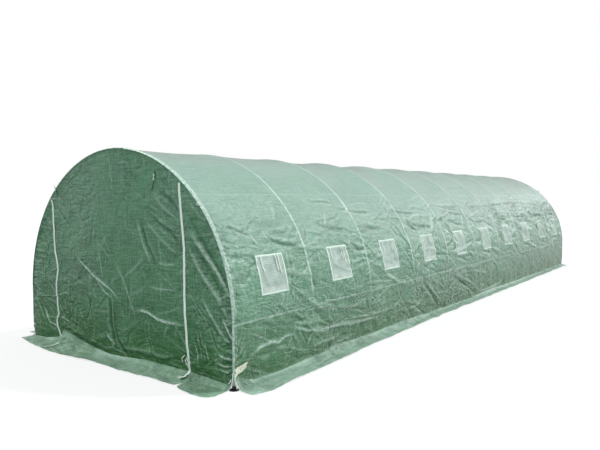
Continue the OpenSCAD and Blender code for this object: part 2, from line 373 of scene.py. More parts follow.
def lay_cover(y_lines, s_lines):
    """The cover's sheet, or part of it, with its sag, folds and creases."""
    cloth = Cloth(y_lines, s_lines)
    y, s = cloth.u, cloth.v
    up = np.minimum(s, ARC - s)
    # the lowest rows start where the skirt turns out
    foot = foot_height(np.where(s < RIDGE, y, -y))
    up = np.where(up < LEG, foot + up * (LEG - foot) / LEG, up)
    s = np.where(s < RIDGE, up, ARC - up)
    cloth.v = s
    place = np.clip((y - FIRST_HOOP) / BAY, 0, BAYS - 1e-6)
    bay = place.astype(int)
    t = place - bay
    high = ramp(up, 0.95, 1.9)
    shoulder = hump(up, 1.22, 0.30)
    low = 1 - ramp(up, 0.40, 1.0)
    between = 4 * t * (1 - t)
    from_hoop = np.abs(y - FIRST_HOOP - BAY * np.round((y - FIRST_HOOP) / BAY))
    far = ramp(y, -1.0, 2.5)

    out = -np.array(SAG)[bay] * between * (0.35 + 0.65 * high)
    # the tubes press through: the hoops, then the long rails
    out += 0.0022 * hump(from_hoop, 0, 0.012)
    for rail in (LEG, SHOULDER, RIDGE):
        out += 0.0020 * hump(up, rail, 0.014) * (0.5 + between * 0.5)
    # slack: broad billows low down, long wrinkles round the windows, and a
    # little crumple all over
    slack = ramp(from_hoop, 0.0, 0.12)
    out += 0.010 * low * (0.35 + 0.65 * slack) * waves(y * 1.7, s * 2.4, 40)
    out += 0.011 * low * (0.4 + 0.6 * slack) * crumple(y * 0.8, s, 0.34, 41)
    wrinkle = waves(y * 2.2 + s * 1.4, s * 9.0, 45) + 0.6 * waves(y * 3.6, s * 19.0, 46)
    out += (0.0022 + 0.0095 * far) * shoulder * slack * wrinkle
    patchy = 0.25 + 0.85 * ramp(waves(y * 1.3 + 9, s * 1.7, 60), -0.35, 0.45)
    near_window = hump(s if s.mean() < RIDGE else ARC - s, 0.95, 0.25)
    busy = patchy * (0.0020 + 0.0038 * low * (1 - 0.5 * far) + 0.004 * near_window
                     + 0.004 * far * shoulder)
    out += busy * crumple(y * 0.7, s, 0.20, 48, layers=2)
    out += 0.30 * busy * (1 - 0.7 * far) * crumple(y * 0.8, s * 1.2, 0.09, 52, layers=2)
    # the far windows hang badly
    out += 0.020 * far * near_window * slack * waves(y * 4.5, s * 6.5 + y, 62)
    cloth.out = out
    cloth.pale = 0.09 * waves(y * 0.9, s * 1.2, 64)
    cloth.slack = np.clip(0.30 + (0.6 - 0.25 * far) * low + (0.35 + 0.4 * far) * shoulder,
                          0, 1)

    for path, width, height, pale in COVER_FOLDS:
        pale = 1.3 * pale or -0.8  # a fold with no whitening gets painted shade along it
        cloth.fold(path, width, height, pale)
        # the other side has folds of its own, in other places
        cloth.fold([(0.37 - p[0], ARC - p[1]) for p in path], width, height, pale)

    # the far windows are pulled by the hoops on both sides
    rng = np.random.default_rng(15)
    for k in range(FIRST_DRAPED, BAYS):
        middle = FIRST_HOOP + (k + 0.5) * BAY
        for start, stop, width, height, pale in WINDOW_DRAPES:
            path = np.linspace(start, stop, 4) + rng.normal(0, 0.022, (4, 2))
            path[:, 0] += middle
            height *= rng.uniform(0.6, 1.25)
            cloth.fold(path, width, height, pale)
            cloth.fold([(0.2 - a, ARC - b) for a, b in path], width, height, pale)

    rng = np.random.default_rng(7)
    sides = (lambda p: (p[0], p[1]), lambda p: (-p[0], ARC - p[1]))
    for side in sides:
        low_place = lambda r: side((r.uniform(-END, END), r.uniform(0.03, 0.85)))
        shoulder_place = lambda r: side((r.uniform(-END, END), r.normal(1.12, 0.16)))
        any_way = lambda r: r.uniform(0, np.pi)
        level = lambda r: r.normal(0, 0.35)
        # creases by the hundred: count, place, length, lean, width, height, pale
        cloth.scatter(rng, 130, low_place, (0.25, 1.1), level,
                      (0.016, 0.034), (0.003, 0.010), 0.5)
        cloth.scatter(rng, 200, low_place, (0.08, 0.45), any_way,
                      (0.014, 0.026), (0.002, 0.006), 0.4)
        cloth.scatter(rng, 240, shoulder_place, (0.10, 0.55), level,
                      (0.016, 0.038), (0.003, 0.009), 0.35)
        # puckers round the windows
        for k in range(BAYS):
            middle = FIRST_HOOP + (k + 0.5) * BAY
            for corner in (-1, 1):
                edge = middle + corner * WINDOW_WIDTH / 2
                away = 0 if side((1, 0))[0] * corner > 0 else np.pi
                beside = lambda r: side((edge + corner * 0.02, r.uniform(0.66, 1.05)))
                outward = lambda r: away + r.normal(0, 0.5)
                cloth.scatter(rng, 7, beside, (0.05, 0.20), outward,
                              (0.012, 0.022), (0.002, 0.005), 0.5)
    # puckers where the edges are drawn round the end hoops, their tops
    # whitened as painted glints
    for side in sides:
        for way in (-1, 1):
            back_in = np.pi if side((way, 0))[0] > 0 else 0
            edge = lambda r: side((way * END, r.uniform(0.08, 1.35)))
            inward = lambda r: back_in + r.normal(0, 0.25)
            cloth.scatter(rng, 46, edge, (0.03, 0.11), inward,
                          (0.009, 0.016), (0.002, 0.005), 1.0)
    # the sheet stays outside the frame
    cloth.out = np.maximum(cloth.out, -DEEPEST_SAG)
    # sharp ridges whiten: partly stress whitening, partly a painted highlight
    cloth.whiten(5.0, 0.30)
    # and is pale where it lies hard on the tubes: a painted light, for the
    # pale tubes send light back through the sheet
    tube_light = ramp(up, 0.45, 0.75) * (1 - ramp(from_hoop, 0.008, 0.016))
    tube_light *= 0.85 + 0.15 * waves(y * 3, s * 5, 57)
    for rail, strength in ((LEG, 0.85), (SHOULDER, 0.30)):
        wear_and_painted_light = 0.75 + 0.25 * waves(y * 1.6, s * 0, 58)
        on_rail = 1 - ramp(np.abs(up - rail), 0, 0.011)
        tube_light = np.maximum(tube_light, strength * wear_and_painted_light * on_rail)
    cloth.lighten(tube_light)
    # the crease where the skirt turns out has cracked pale here and there
    cracked = 0.5 + 0.6 * waves(y * 3.1, s * 4, 59)
    cloth.lighten(0.5 * np.clip(cracked, 0, 1) * (1 - ramp(up - foot, 0, 0.035)))
    return cloth


def cover_points(cloth):
    """Places in the frame of the points of the cover's sheet."""
    x, z, nx, nz = arch(cloth.v)
    out = cloth.out - HALF_SHEET
    y = cloth.u.copy()
    # the edges draw back from the corners near the ground
    up = np.minimum(cloth.v, ARC - cloth.v)
    at_end = ramp(np.abs(y), END - 0.12, END)
    y -= np.sign(y) * 0.028 * at_end * (1 - ramp(up, 0.02, 0.15))
    return np.stack([x + nx * out, y, z + nz * out], -1)


# the grid has lines at the windows' edges and on both sides of each tube
half_window = WINDOW_WIDTH / 2
y_knots = [-END]
for i in range(BAYS + 1):
    hoop = FIRST_HOOP + i * BAY
    if i:
        middle = hoop - BAY / 2
        y_knots += [middle - half_window, middle + half_window]
    y_knots += [hoop + beside for beside in (-0.016, -0.007, 0.007, 0.016)]
y_knots.append(END)


def cover_spacing(y):
    """Finer near the front, where the folds are seen closest."""
    return 0.0115 + 0.0055 * float(ramp(y, -3.0, -1.0))


SIDE_SPACING, ROOF_SPACING = 0.0135, 0.0175
RAIL = 0.012  # half the width that a rail presses through
y_lines = steps(y_knots, cover_spacing)
side_knots = [0, LEG - RAIL, LEG, LEG + RAIL, SILL, LINTEL, SHOULDER - RAIL, SHOULDER]
side_lines = steps(side_knots, lambda s: SIDE_SPACING)
roof_knots = [SHOULDER, SHOULDER + RAIL, RIDGE - RAIL, RIDGE]
roof_lines = steps(roof_knots, lambda s: ROOF_SPACING)
roof_lines = np.concatenate([roof_lines, ARC - roof_lines[-2::-1]])


def in_windows(cloth):
    """Which squares of a side's grid lie in a window."""
    y = (cloth.u[:-1, :-1] + cloth.u[1:, 1:]) / 2
    up = np.minimum(cloth.v, ARC - cloth.v)
    up = (up[:-1, :-1] + up[1:, 1:]) / 2
    from_middle = np.abs((y - FIRST_HOOP) / BAY % 1 - 0.5) * BAY
    return (from_middle < half_window) & (up > SILL) & (up < LINTEL)


# --- materials -------------------------------------------------------------


def linear(colour):
    """An sRGB hex colour as linear red, green, blue and alpha."""
    parts = [int(colour[k:k + 2], 16) / 255 for k in (1, 3, 5)]
    parts = [p / 12.92 if p <= 0.04045 else ((p + 0.055) / 1.055) ** 2.4 for p in parts]
    return (*parts, 1)


def add(tree, kind, inputs=None, **settings):
    """Adds a node with its settings, its values and its links. A node given
    as a value stands for its first output."""
    node = tree.nodes.new("ShaderNode" + kind)
    for name, value in settings.items():
        setattr(node, name, value)
    for name, value in (inputs or {}).items():
        if isinstance(value, bpy.types.Node):
            value = value.outputs[0]
        if isinstance(value, bpy.types.NodeSocket):
            tree.links.new(value, node.inputs[name])
        else:
            node.inputs[name].default_value = value
    return node


# the sockets of a Mix node of colours: its share, its two colours, its result
SHARE, FIRST, SECOND, RESULT = 0, 6, 7, 2


def new_material(name):
    """A material with an empty tree, and its tree."""
    material = bpy.data.materials.new(name)
    material.use_nodes = True
    material.node_tree.nodes.clear()
    return material, material.node_tree


def crease_net(tree, uv, scale, where, width):
    """Thin straight creases that meet as they do in crushed film: 1 on a
    crease and 0 off it. scale is how many facets go in a metre each way, and
    where the noise that says which parts are crushed."""
    mapped = add(tree, "Mapping", {"Vector": uv, "Scale": scale})
    bent = add(tree, "TexNoise", {"Vector": mapped, "Scale": 0.7, "Detail": 1.0})
    moved = add(tree, "VectorMath", {0: bent.outputs["Color"], 1: (0.9, 0.9, 0),
                                     2: mapped}, operation="MULTIPLY_ADD")
    cells = add(tree, "TexVoronoi", {"Vector": moved, "Scale": 1.0},
                feature="DISTANCE_TO_EDGE")
    line = add(tree, "MapRange", {"Value": cells, "From Max": width, "To Min": 1.0,
                                  "To Max": 0.0})
    part = add(tree, "TexNoise", {"Vector": uv, "Scale": where, "Detail": 2.0})
    share = add(tree, "MapRange", {"Value": part, "From Min": 0.48, "From Max": 0.64})
    return add(tree, "Math", {0: line, 1: share}, operation="MULTIPLY")


def woven_polyethylene(name, tone, shade, bright, see_through, coat=0.55, haze=0.2,
                       bleach_and_sheen_share=0.30, darkened_low_share=0.78):
    """Green woven polyethylene sheet. Its tapes give a faint square weave, the
    film over them a soft gloss, hard creases whiten, partly as a painted
    highlight, the bottoms of folds take a painted shade, and light comes
    through."""
    material, tree = new_material(name)
    uv = add(tree, "UVMap", uv_map="UVMap")
    place = add(tree, "TexCoord").outputs["Object"]
    # cloudy change of tone over a hand's breadth and more
    cloud = add(tree, "TexNoise", {"Vector": place, "Scale": 3.2, "Detail": 5.0,
                                   "Roughness": 0.62})
    tones = add(tree, "ValToRGB", {"Fac": cloud})
    stops = tones.color_ramp.elements
    stops[0].position, stops[0].color = 0.32, linear(shade)
    stops[1].position, stops[1].color = 0.68, linear(tone)
    # streaks along the tapes, which really are 2.5 mm wide: drawn 12 mm wide
    both_ways = []
    for scale in ((5.0, 80.0, 1.0), (80.0, 5.0, 1.0)):
        tape = add(tree, "Mapping", {"Vector": uv, "Scale": scale})
        streak = add(tree, "TexNoise", {"Vector": tape, "Scale": 1.0, "Detail": 2.0})
        both_ways.append(streak)
    speck = add(tree, "TexNoise", {"Vector": place, "Scale": 48.0, "Detail": 4.0,
                                   "Roughness": 0.7})
    streaks = add(tree, "Math", {0: both_ways[0], 1: both_ways[1]}, operation="ADD")
    streaks = add(tree, "Math", {0: speck, 1: 1.6, 2: streaks}, operation="MULTIPLY_ADD")
    lift = add(tree, "MapRange", {"Value": streaks, "From Min": 1.42, "From Max": 2.05,
                                  "To Min": 0.0, "To Max": 0.82})
    # thin hard creases, whitened a little, partly as a painted highlight, and
    # raised by the bump below
    slack = add(tree, "Attribute", attribute_name="slack").outputs["Fac"]
    long_net = crease_net(tree, uv, (3.1, 5.3, 1.0), 2.3, 0.030)
    short_net = crease_net(tree, uv, (7.9, 12.7, 1.0), 3.7, 0.055)
    nets = add(tree, "Math", {0: long_net, 1: short_net}, operation="MAXIMUM")
    nets = add(tree, "Math", {0: nets, 1: slack}, operation="MULTIPLY")
    netted = add(tree, "Math", {0: nets, 1: 0.19}, operation="MULTIPLY")
    # paler on top, partly bleached by the sun and partly a painted sheen of the
    # sky, and darker, deeper green towards the foot
    height = add(tree, "SeparateXYZ", {0: place}).outputs["Z"]
    drifting = add(tree, "Math", {0: cloud, 1: 0.5, 2: height}, operation="MULTIPLY_ADD")
    bleach_and_sheen = add(tree, "MapRange", {"Value": drifting, "From Min": 0.95,
                                    "From Max": 1.75, "To Max": bleach_and_sheen_share},
                 interpolation_type="SMOOTHSTEP")
    darkened = add(tree, "MapRange", {"Value": drifting, "From Min": 0.95,
                                    "From Max": 0.25, "To Max": darkened_low_share},
                 interpolation_type="SMOOTHSTEP")
    # the folds themselves: whitened tops, partly a painted highlight, and
    # painted shade along their bottoms
    pale = add(tree, "Attribute", attribute_name="pale").outputs["Fac"]
    wear_and_painted_light = add(tree, "TexNoise", {"Vector": place, "Scale": 40.0, "Detail": 3.0})
    broken = add(tree, "MapRange", {"Value": wear_and_painted_light, "From Min": 0.35, "From Max": 0.6,
                                    "To Min": 0.45, "To Max": 1.0})
    white = add(tree, "Math", {0: pale, 1: broken}, operation="MULTIPLY")
    dark = add(tree, "Math", {0: white, 1: -1.0}, operation="MULTIPLY")
    # each colour goes over those before it, by its share
    colour = tones.outputs[0]
    # the crease whitening is partly a painted highlight, the dark colour is a painted shade
    # in the folds, and the pale top is partly a painted sky sheen
    for share, over in (
        (lift, bright), (netted, "#c4e0d0"), (bleach_and_sheen, "#93b8b6"),
        (darkened, "#2f6f29"), (dark, "#2a5038"), (white, "#d9efe5"),
    ):
        layer = add(tree, "Mix", {SHARE: share, FIRST: colour, SECOND: linear(over)},
                    data_type="RGBA")
        colour = layer.outputs[RESULT]
    # crushed film: sharp creases 10 cm down to 1 cm apart, mostly level, with
    # level wrinkles 2 cm wide and dimples between, in some places more
    patch = add(tree, "TexNoise", {"Vector": place, "Scale": 1.7, "Detail": 3.0})
    crushed = add(tree, "MapRange", {"Value": patch, "From Min": 0.38, "From Max": 0.62,
                                     "To Min": 0.25, "To Max": 1.0})
    crushed = add(tree, "Math", {0: crushed, 1: slack}, operation="MULTIPLY")
    level = add(tree, "Mapping", {"Vector": uv, "Scale": (4.5, 10.0, 1.0)})
    narrow = add(tree, "Mapping", {"Vector": uv, "Scale": (7.0, 52.0, 1.0)})
    creases = add(tree, "TexNoise", {"Vector": level, "Scale": 1.0, "Detail": 6.0,
                                     "Roughness": 0.60, "Lacunarity": 2.1, "Offset": 0.9,
                                     "Gain": 1.6, "Distortion": 0.6},
                  noise_type="RIDGED_MULTIFRACTAL", normalize=True)
    wrinkles = add(tree, "TexNoise", {"Vector": narrow, "Scale": 1.0, "Detail": 4.0,
                                      "Roughness": 0.6, "Distortion": 0.9})
    dimples = add(tree, "TexNoise", {"Vector": place, "Scale": 30.0, "Detail": 5.0,
                                     "Roughness": 0.7, "Distortion": 0.6})
    # the weave of 2.5 mm tapes, drawn 14 mm wide so that it shows
    tapes = [add(tree, "TexWave", {"Vector": uv, "Scale": 22.0}, bands_direction=way)
             for way in "XY"]
    weave = add(tree, "Math", {0: tapes[0].outputs["Fac"], 1: tapes[1].outputs["Fac"]},
                operation="MULTIPLY")
    # each relief on top of the one before: pattern, strength, metres
    raised = None
    for pattern, strength, distance in (
        (nets, 1.0, 0.0045),
        (creases, crushed, 0.015),
        (wrinkles, slack, 0.009),
        (dimples, 0.9, 0.0045),
        (weave, 0.3, 0.0008),
    ):
        given = {"Height": pattern, "Strength": strength, "Distance": distance}
        if raised:
            given["Normal"] = raised
        raised = add(tree, "Bump", given)
    gloss = add(tree, "MapRange", {"Value": cloud, "From Min": 0.3, "From Max": 0.7,
                                   "To Min": 0.34, "To Max": 0.50})
    film = add(tree, "BsdfPrincipled", {
        "Base Color": colour, "Roughness": gloss,
        "Specular IOR Level": 0.25, "Coat Weight": coat, "Coat Roughness": 0.25,
        "Coat IOR": 1.5, "Sheen Weight": haze, "Sheen Roughness": 0.28,
        "Normal": raised, "Coat Normal": raised,
    })
    through = add(tree, "BsdfTranslucent", {"Color": colour, "Normal": raised})
    mixed = add(tree, "MixShader", {0: see_through, 1: film, 2: through})
    add(tree, "OutputMaterial", {"Surface": mixed})
    return material


def plain_finish(name, colour, second, scale, roughness, metallic=0.0, bump=0.0005):
    """A finish with a fine grain of two tones, scale grains to a metre and
    bump metres deep, for small parts."""
    material, tree = new_material(name)
    place = add(tree, "TexCoord").outputs["Object"]
    grain = add(tree, "TexNoise", {"Vector": place, "Scale": scale, "Detail": 4.0})
    tones = add(tree, "ValToRGB", {"Fac": grain})
    stops = tones.color_ramp.elements
    stops[0].position, stops[0].color = 0.35, linear(colour)
    stops[1].position, stops[1].color = 0.65, linear(second)
    rough = add(tree, "MapRange", {"Value": grain, "To Min": roughness - 0.08,
                                   "To Max": roughness + 0.08})
    raised = add(tree, "Bump", {"Height": grain, "Strength": 0.5, "Distance": bump})
    shader = add(tree, "BsdfPrincipled", {
        "Base Color": tones, "Roughness": rough,
        "Metallic": metallic, "Normal": raised,
    })
    add(tree, "OutputMaterial", {"Surface": shader})
    return material


def netting(name):
    """Knitted insect netting of white polyethylene thread, its 1.5 mm mesh
    drawn 18 mm wide to show: pale, soft, and seen through between threads."""
    material, tree = new_material(name)
    uv = add(tree, "UVMap", uv_map="UVMap")
    yarns = [add(tree, "TexWave", {"Vector": uv, "Scale": 17.0, "Distortion": 0.6,
                                   "Detail Scale": 3.0}, bands_direction=way)
             for way in "XY"]
    threads = add(tree, "Math", {0: yarns[0].outputs["Fac"], 1: yarns[1].outputs["Fac"]},
                  operation="MAXIMUM")
    patch = add(tree, "TexNoise", {"Vector": uv, "Scale": 14.0, "Detail": 4.0})
    tones = add(tree, "ValToRGB", {"Fac": patch})
    stops = tones.color_ramp.elements
    stops[0].position, stops[0].color = 0.3, linear("#9fb4aa")
    stops[1].position, stops[1].color = 0.7, linear("#c8d9d0")
    raised = add(tree, "Bump", {"Height": threads, "Strength": 0.6, "Distance": 0.0012})
    yarn = add(tree, "BsdfPrincipled", {"Base Color": tones, "Roughness": 0.6,
                                        "Normal": raised})
    gap = add(tree, "BsdfTransparent")
    filled = add(tree, "MapRange", {"Value": threads, "From Min": 0.3, "From Max": 0.8,
                                    "To Min": 0.62, "To Max": 0.95})
    mixed = add(tree, "MixShader", {0: filled, 1: gap, 2: yarn})
    add(tree, "OutputMaterial", {"Surface": mixed})
    return material


# the cover: coated in a soft gloss, and paler on top, partly where the sun has
# made its film chalky and partly as a painted sheen of the sky
cover_sheet = woven_polyethylene(
    "woven_polyethylene_sheet", "#568e6a", "#3e7350", "#84b79b", 0.22, 0.75, 0.9, 0.26)
# the end panels are of the same sheet, made darker as a painted shade for
# lying out of the sun, and less glossy
end_sheet_painted_shade = woven_polyethylene(
    "woven_polyethylene_end_panel_painted_shade", "#4a8057", "#224a2e", "#699e7c", 0.2, 0.15, 0.0, 0.05)
# the long skirts: paler than the cover, thin and dull from lying in the dust
skirt_sheet = woven_polyethylene(
    "woven_polyethylene_skirt", "#90b49c", "#7da38a", "#abcbb8", 0.12, 0.3, darkened_low_share=0.1)
# the hem, pale along the lit side of the end hoop: a painted highlight
highlight_hem = plain_finish("polyethylene_hem_painted_highlight", "#8fbaa4", "#e0f1e8", 55.0, 0.35,
                         bump=0.003)
# the rest of the hem, without the painted highlight: dark green film, a
# little glossy
green_hem = plain_finish("green_polyethylene_hem", "#41694f", "#6f9f83", 70.0, 0.4,
                         bump=0.002)
# white netting, knitted: the sheet's inside shows grey-green behind it
window_mesh = netting("knitted_polyethylene_netting")
# woven polypropylene tape: milky white, with a silky sheen along its threads
white_tape = plain_finish("woven_polypropylene_tape", "#c9dfd3", "#e9f6ee", 220.0, 0.45)
# nylon coil zip on white tape: bright, its teeth a fine ribbing
zip_white = plain_finish("nylon_coil_zip", "#e2f3e8", "#fbfffc", 160.0, 0.40,
                         bump=0.001)
# the skirts at the ends, made lighter where the tunnel's shadow falls on
# them: painted light
end_skirt_painted_light = woven_polyethylene(
    "polyethylene_skirt_painted_light", "#7fa788", "#6a9274", "#9abfa5", 0.10, 0.2, 0.3,
    darkened_low_share=0.1)
# hot-dipped galvanised tube: dull bright zinc with a spangle of a centimetre
galvanised = plain_finish("galvanised_steel_tube", "#9aa1a3", "#c3c9ca", 90.0, 0.42,
                          metallic=0.85, bump=0.0002)
# steel set screws, zinc plated: darker and a little smoother than the tube
plated = plain_finish("zinc_plated_steel_screw", "#6f7678", "#8d9496", 140.0, 0.38,
                      metallic=0.85, bump=0.0002)
# clamps moulded in polypropylene: matt black, with the fine grain of the mould
clamp_plastic = plain_finish("moulded_polypropylene_clamp", "#17191a", "#25282a", 200.0,
                             0.55, bump=0.0003)
# foot plates of the same, a coarser grain, scuffed a little greyer
foot_plastic = plain_finish("moulded_polypropylene_foot", "#141615", "#22262a", 260.0,
                            0.5, bump=0.0004)
# woven strap of dark green polypropylene
dark_strap = plain_finish("dark_polypropylene_strap", "#1d3a2c", "#2c5140", 200.0, 0.6)
# backing paper and sewing scrap left on the corner: creamy, crumpled, dull
cream_scrap = plain_finish("crumpled_tape_scrap", "#c9cbb0", "#f1f3e4", 60.0, 0.5,
                           bump=0.002)

for node_name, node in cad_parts.items():
    for word, finish in (("hoop_", galvanised), ("_rail", galvanised),
                         ("_clamps", clamp_plastic), ("foot_plates", foot_plastic)):
        if word in node_name:
            for material_slot in node.material_slots:
                material_slot.material = finish

# --- cover, side by side ---------------------------------------------------

right = lay_cover(y_lines, side_lines)
roof = lay_cover(y_lines, roof_lines)
left = lay_cover(y_lines, ARC - side_lines[::-1])
for name, cloth, nodes in (
    ("cover_side_right", right, ("cover_wall_right", "cover_shoulder_right")),
    ("cover_side_left", left, ("cover_wall_left", "cover_shoulder_left")),
    ("cover_roof", roof, ("cover_crown_left", "cover_crown_right")),
):
    keep = None if cloth is roof else ~in_windows(cloth)
    # the pattern follows the sheet: along the tunnel, and up along the sheet
    uv = np.stack([cloth.u, cloth.v], -1)
    piece = add_grid(name, cover_points(cloth), uv, cloth.marks(), keep, flip=True)
    wrap_up(piece, cover_sheet, nodes)

# --- end panels ------------------------------------------------------------

# the zips wander from their straight lines: (height, distance to the right)
ZIP_NEAR = [(0.0, 0.118), (0.19, 0.086), (0.31, 0.064), (0.64, 0.032), (1.05, 0.025),
            (1.38, 0.000), (1.6, -0.014)]
ZIP_FAR = [(0.0, 0.184), (0.06, 0.164), (0.24, 0.070), (0.27, 0.106), (0.43, 0.082),
           (0.60, 0.060), (0.76, 0.098), (0.94, 0.034), (1.2, 0.016), (1.45, 0.004)]
ZIP_X = {"near": 0.92, "far": -1.08}

END_FOOT = [(-1.5, 0.008), (-1.25, 0.02), (-1.06, 0.085), (-0.9, 0.15), (-0.73, 0.135),
            (-0.44, 0.08), (-0.09, 0.03), (0.17, 0.04), (0.46, 0.066), (0.92, 0.068),
            (1.27, 0.055), (1.5, 0.045)]

# folds of the front end: path of (x, z), width, height, whitening, partly a
# painted highlight (0: painted shade along it)
FRONT_FOLDS = [
    ([(-0.70, 0.96), (-0.52, 0.84), (-0.33, 0.74), (-0.08, 0.64), (0.11, 0.51)],
     0.028, 0.007, 0.8),
    ([(-0.30, 0.72), (-0.14, 0.59), (-0.03, 0.54)], 0.022, 0.005, 0.7),
    ([(0.12, 0.75), (0.28, 0.84), (0.44, 0.96)], 0.026, 0.005, 0.4),
    ([(-0.26, 1.02), (-0.22, 0.85), (-0.17, 0.68)], 0.024, 0.004, 0.3),
    ([(-0.00, 0.88), (0.12, 0.76), (0.28, 0.48), (0.33, 0.35)], 0.030, 0.006, 0.3),
    ([(-0.09, 0.62), (-0.07, 0.31), (-0.01, 0.17), (0.06, 0.03)], 0.040, -0.020, 0.0),
    ([(-0.02, 0.60), (-0.00, 0.35), (0.06, 0.20), (0.13, 0.08)], 0.045, 0.012, 0.0),
    ([(-0.14, 0.24), (-0.07, 0.18), (0.02, 0.12)], 0.022, 0.008, 0.8),
    ([(0.05, 0.20), (0.12, 0.12), (0.21, 0.05)], 0.035, -0.014, 0.0),
    ([(0.29, 0.47), (0.41, 0.49), (0.51, 0.48), (0.62, 0.44), (0.71, 0.43),
      (0.92, 0.43)], 0.030, 0.010, 0.9),
    ([(0.62, 1.54), (0.76, 1.47), (0.90, 1.36)], 0.050, -0.014, 0.0),
    ([(0.58, 1.50), (0.72, 1.38), (0.90, 1.27)], 0.045, 0.010, 0.1),
    ([(0.48, 1.36), (0.62, 1.26), (0.77, 1.18), (0.90, 1.06)], 0.045, -0.013, 0.0),
    ([(0.44, 1.30), (0.64, 1.14), (0.88, 0.98)], 0.050, 0.010, 0.1),
    ([(0.33, 1.29), (0.42, 1.08), (0.55, 0.88)], 0.040, 0.009, 0.3),
    ([(0.37, 1.30), (0.48, 1.05), (0.62, 0.88)], 0.040, -0.009, 0.0),
    ([(0.97, 1.36), (1.12, 1.17), (1.26, 1.01), (1.40, 0.84), (1.50, 0.68)],
     0.085, -0.030, 0.0),
    ([(0.96, 1.24), (1.15, 1.06), (1.35, 0.87), (1.51, 0.66)], 0.060, 0.026, 0.5),
    ([(0.95, 1.10), (1.16, 0.86), (1.35, 0.69), (1.51, 0.46)], 0.060, 0.022, 0.4),
    ([(1.00, 1.12), (1.22, 0.92), (1.44, 0.64)], 0.060, -0.018, 0.0),
    ([(1.12, 0.70), (1.26, 0.55), (1.38, 0.42), (1.51, 0.33)], 0.045, 0.014, 0.4),
    ([(1.38, 0.56), (1.46, 0.44), (1.52, 0.36)], 0.030, 0.012, 0.7),
    ([(1.00, 1.46), (1.10, 1.36), (1.22, 1.26)], 0.040, 0.010, 0.1),
    ([(1.32, 0.26), (1.42, 0.24), (1.51, 0.25)], 0.022, 0.009, 0.8),
    ([(1.30, 0.20), (1.41, 0.18), (1.51, 0.19)], 0.020, 0.008, 0.7),
    ([(1.35, 0.15), (1.44, 0.14), (1.51, 0.13)], 0.020, 0.007, 0.6),
    ([(1.16, 0.32), (1.20, 0.26), (1.24, 0.18)], 0.020, 0.006, 0.5),
    ([(1.02, 0.30), (1.08, 0.22), (1.07, 0.14)], 0.022, 0.008, 0.7),
    ([(-1.40, 0.44), (-1.17, 0.47), (-0.92, 0.51), (-0.69, 0.55)], 0.014, 0.003, 0.5),
    ([(-1.21, 1.46), (-1.07, 1.47), (-0.89, 1.47)], 0.014, 0.003, 0.5),
    ([(-1.30, 0.36), (-1.23, 0.27), (-1.18, 0.19), (-1.01, 0.16)], 0.026, 0.010, 0.6),
    ([(-1.38, 0.40), (-1.30, 0.28), (-1.26, 0.20)], 0.026, 0.008, 0.3),
    ([(-0.99, 0.27), (-0.88, 0.27), (-0.76, 0.24)], 0.024, 0.009, 0.7),
    ([(-0.93, 0.20), (-0.70, 0.17), (-0.41, 0.12), (-0.06, 0.07)], 0.060, 0.022, 0.0),
    ([(0.15, 0.12), (0.43, 0.14), (0.77, 0.13)], 0.040, 0.012, 0.1),
    ([(-0.82, 0.72), (-0.67, 0.70), (-0.47, 0.62)], 0.030, 0.005, 0.2),
    ([(-0.37, 0.40), (-0.22, 0.42), (-0.09, 0.40)], 0.030, 0.005, 0.1),
    ([(0.47, 0.72), (0.62, 0.70), (0.87, 0.71)], 0.020, 0.004, 0.4),
    ([(0.57, 0.92), (0.72, 0.91), (0.86, 0.93)], 0.018, 0.003, 0.4),
]


AT_HOOP = 1.497  # where the panels' upright edges are drawn round the hoop


def zip_shift(x, z):
    """How far the panel is drawn aside by the wandering zips."""
    near = along(z, ZIP_NEAR) * hump(x, ZIP_X["near"], 0.22)
    return near + along(z, ZIP_FAR) * hump(x, ZIP_X["far"], 0.16)


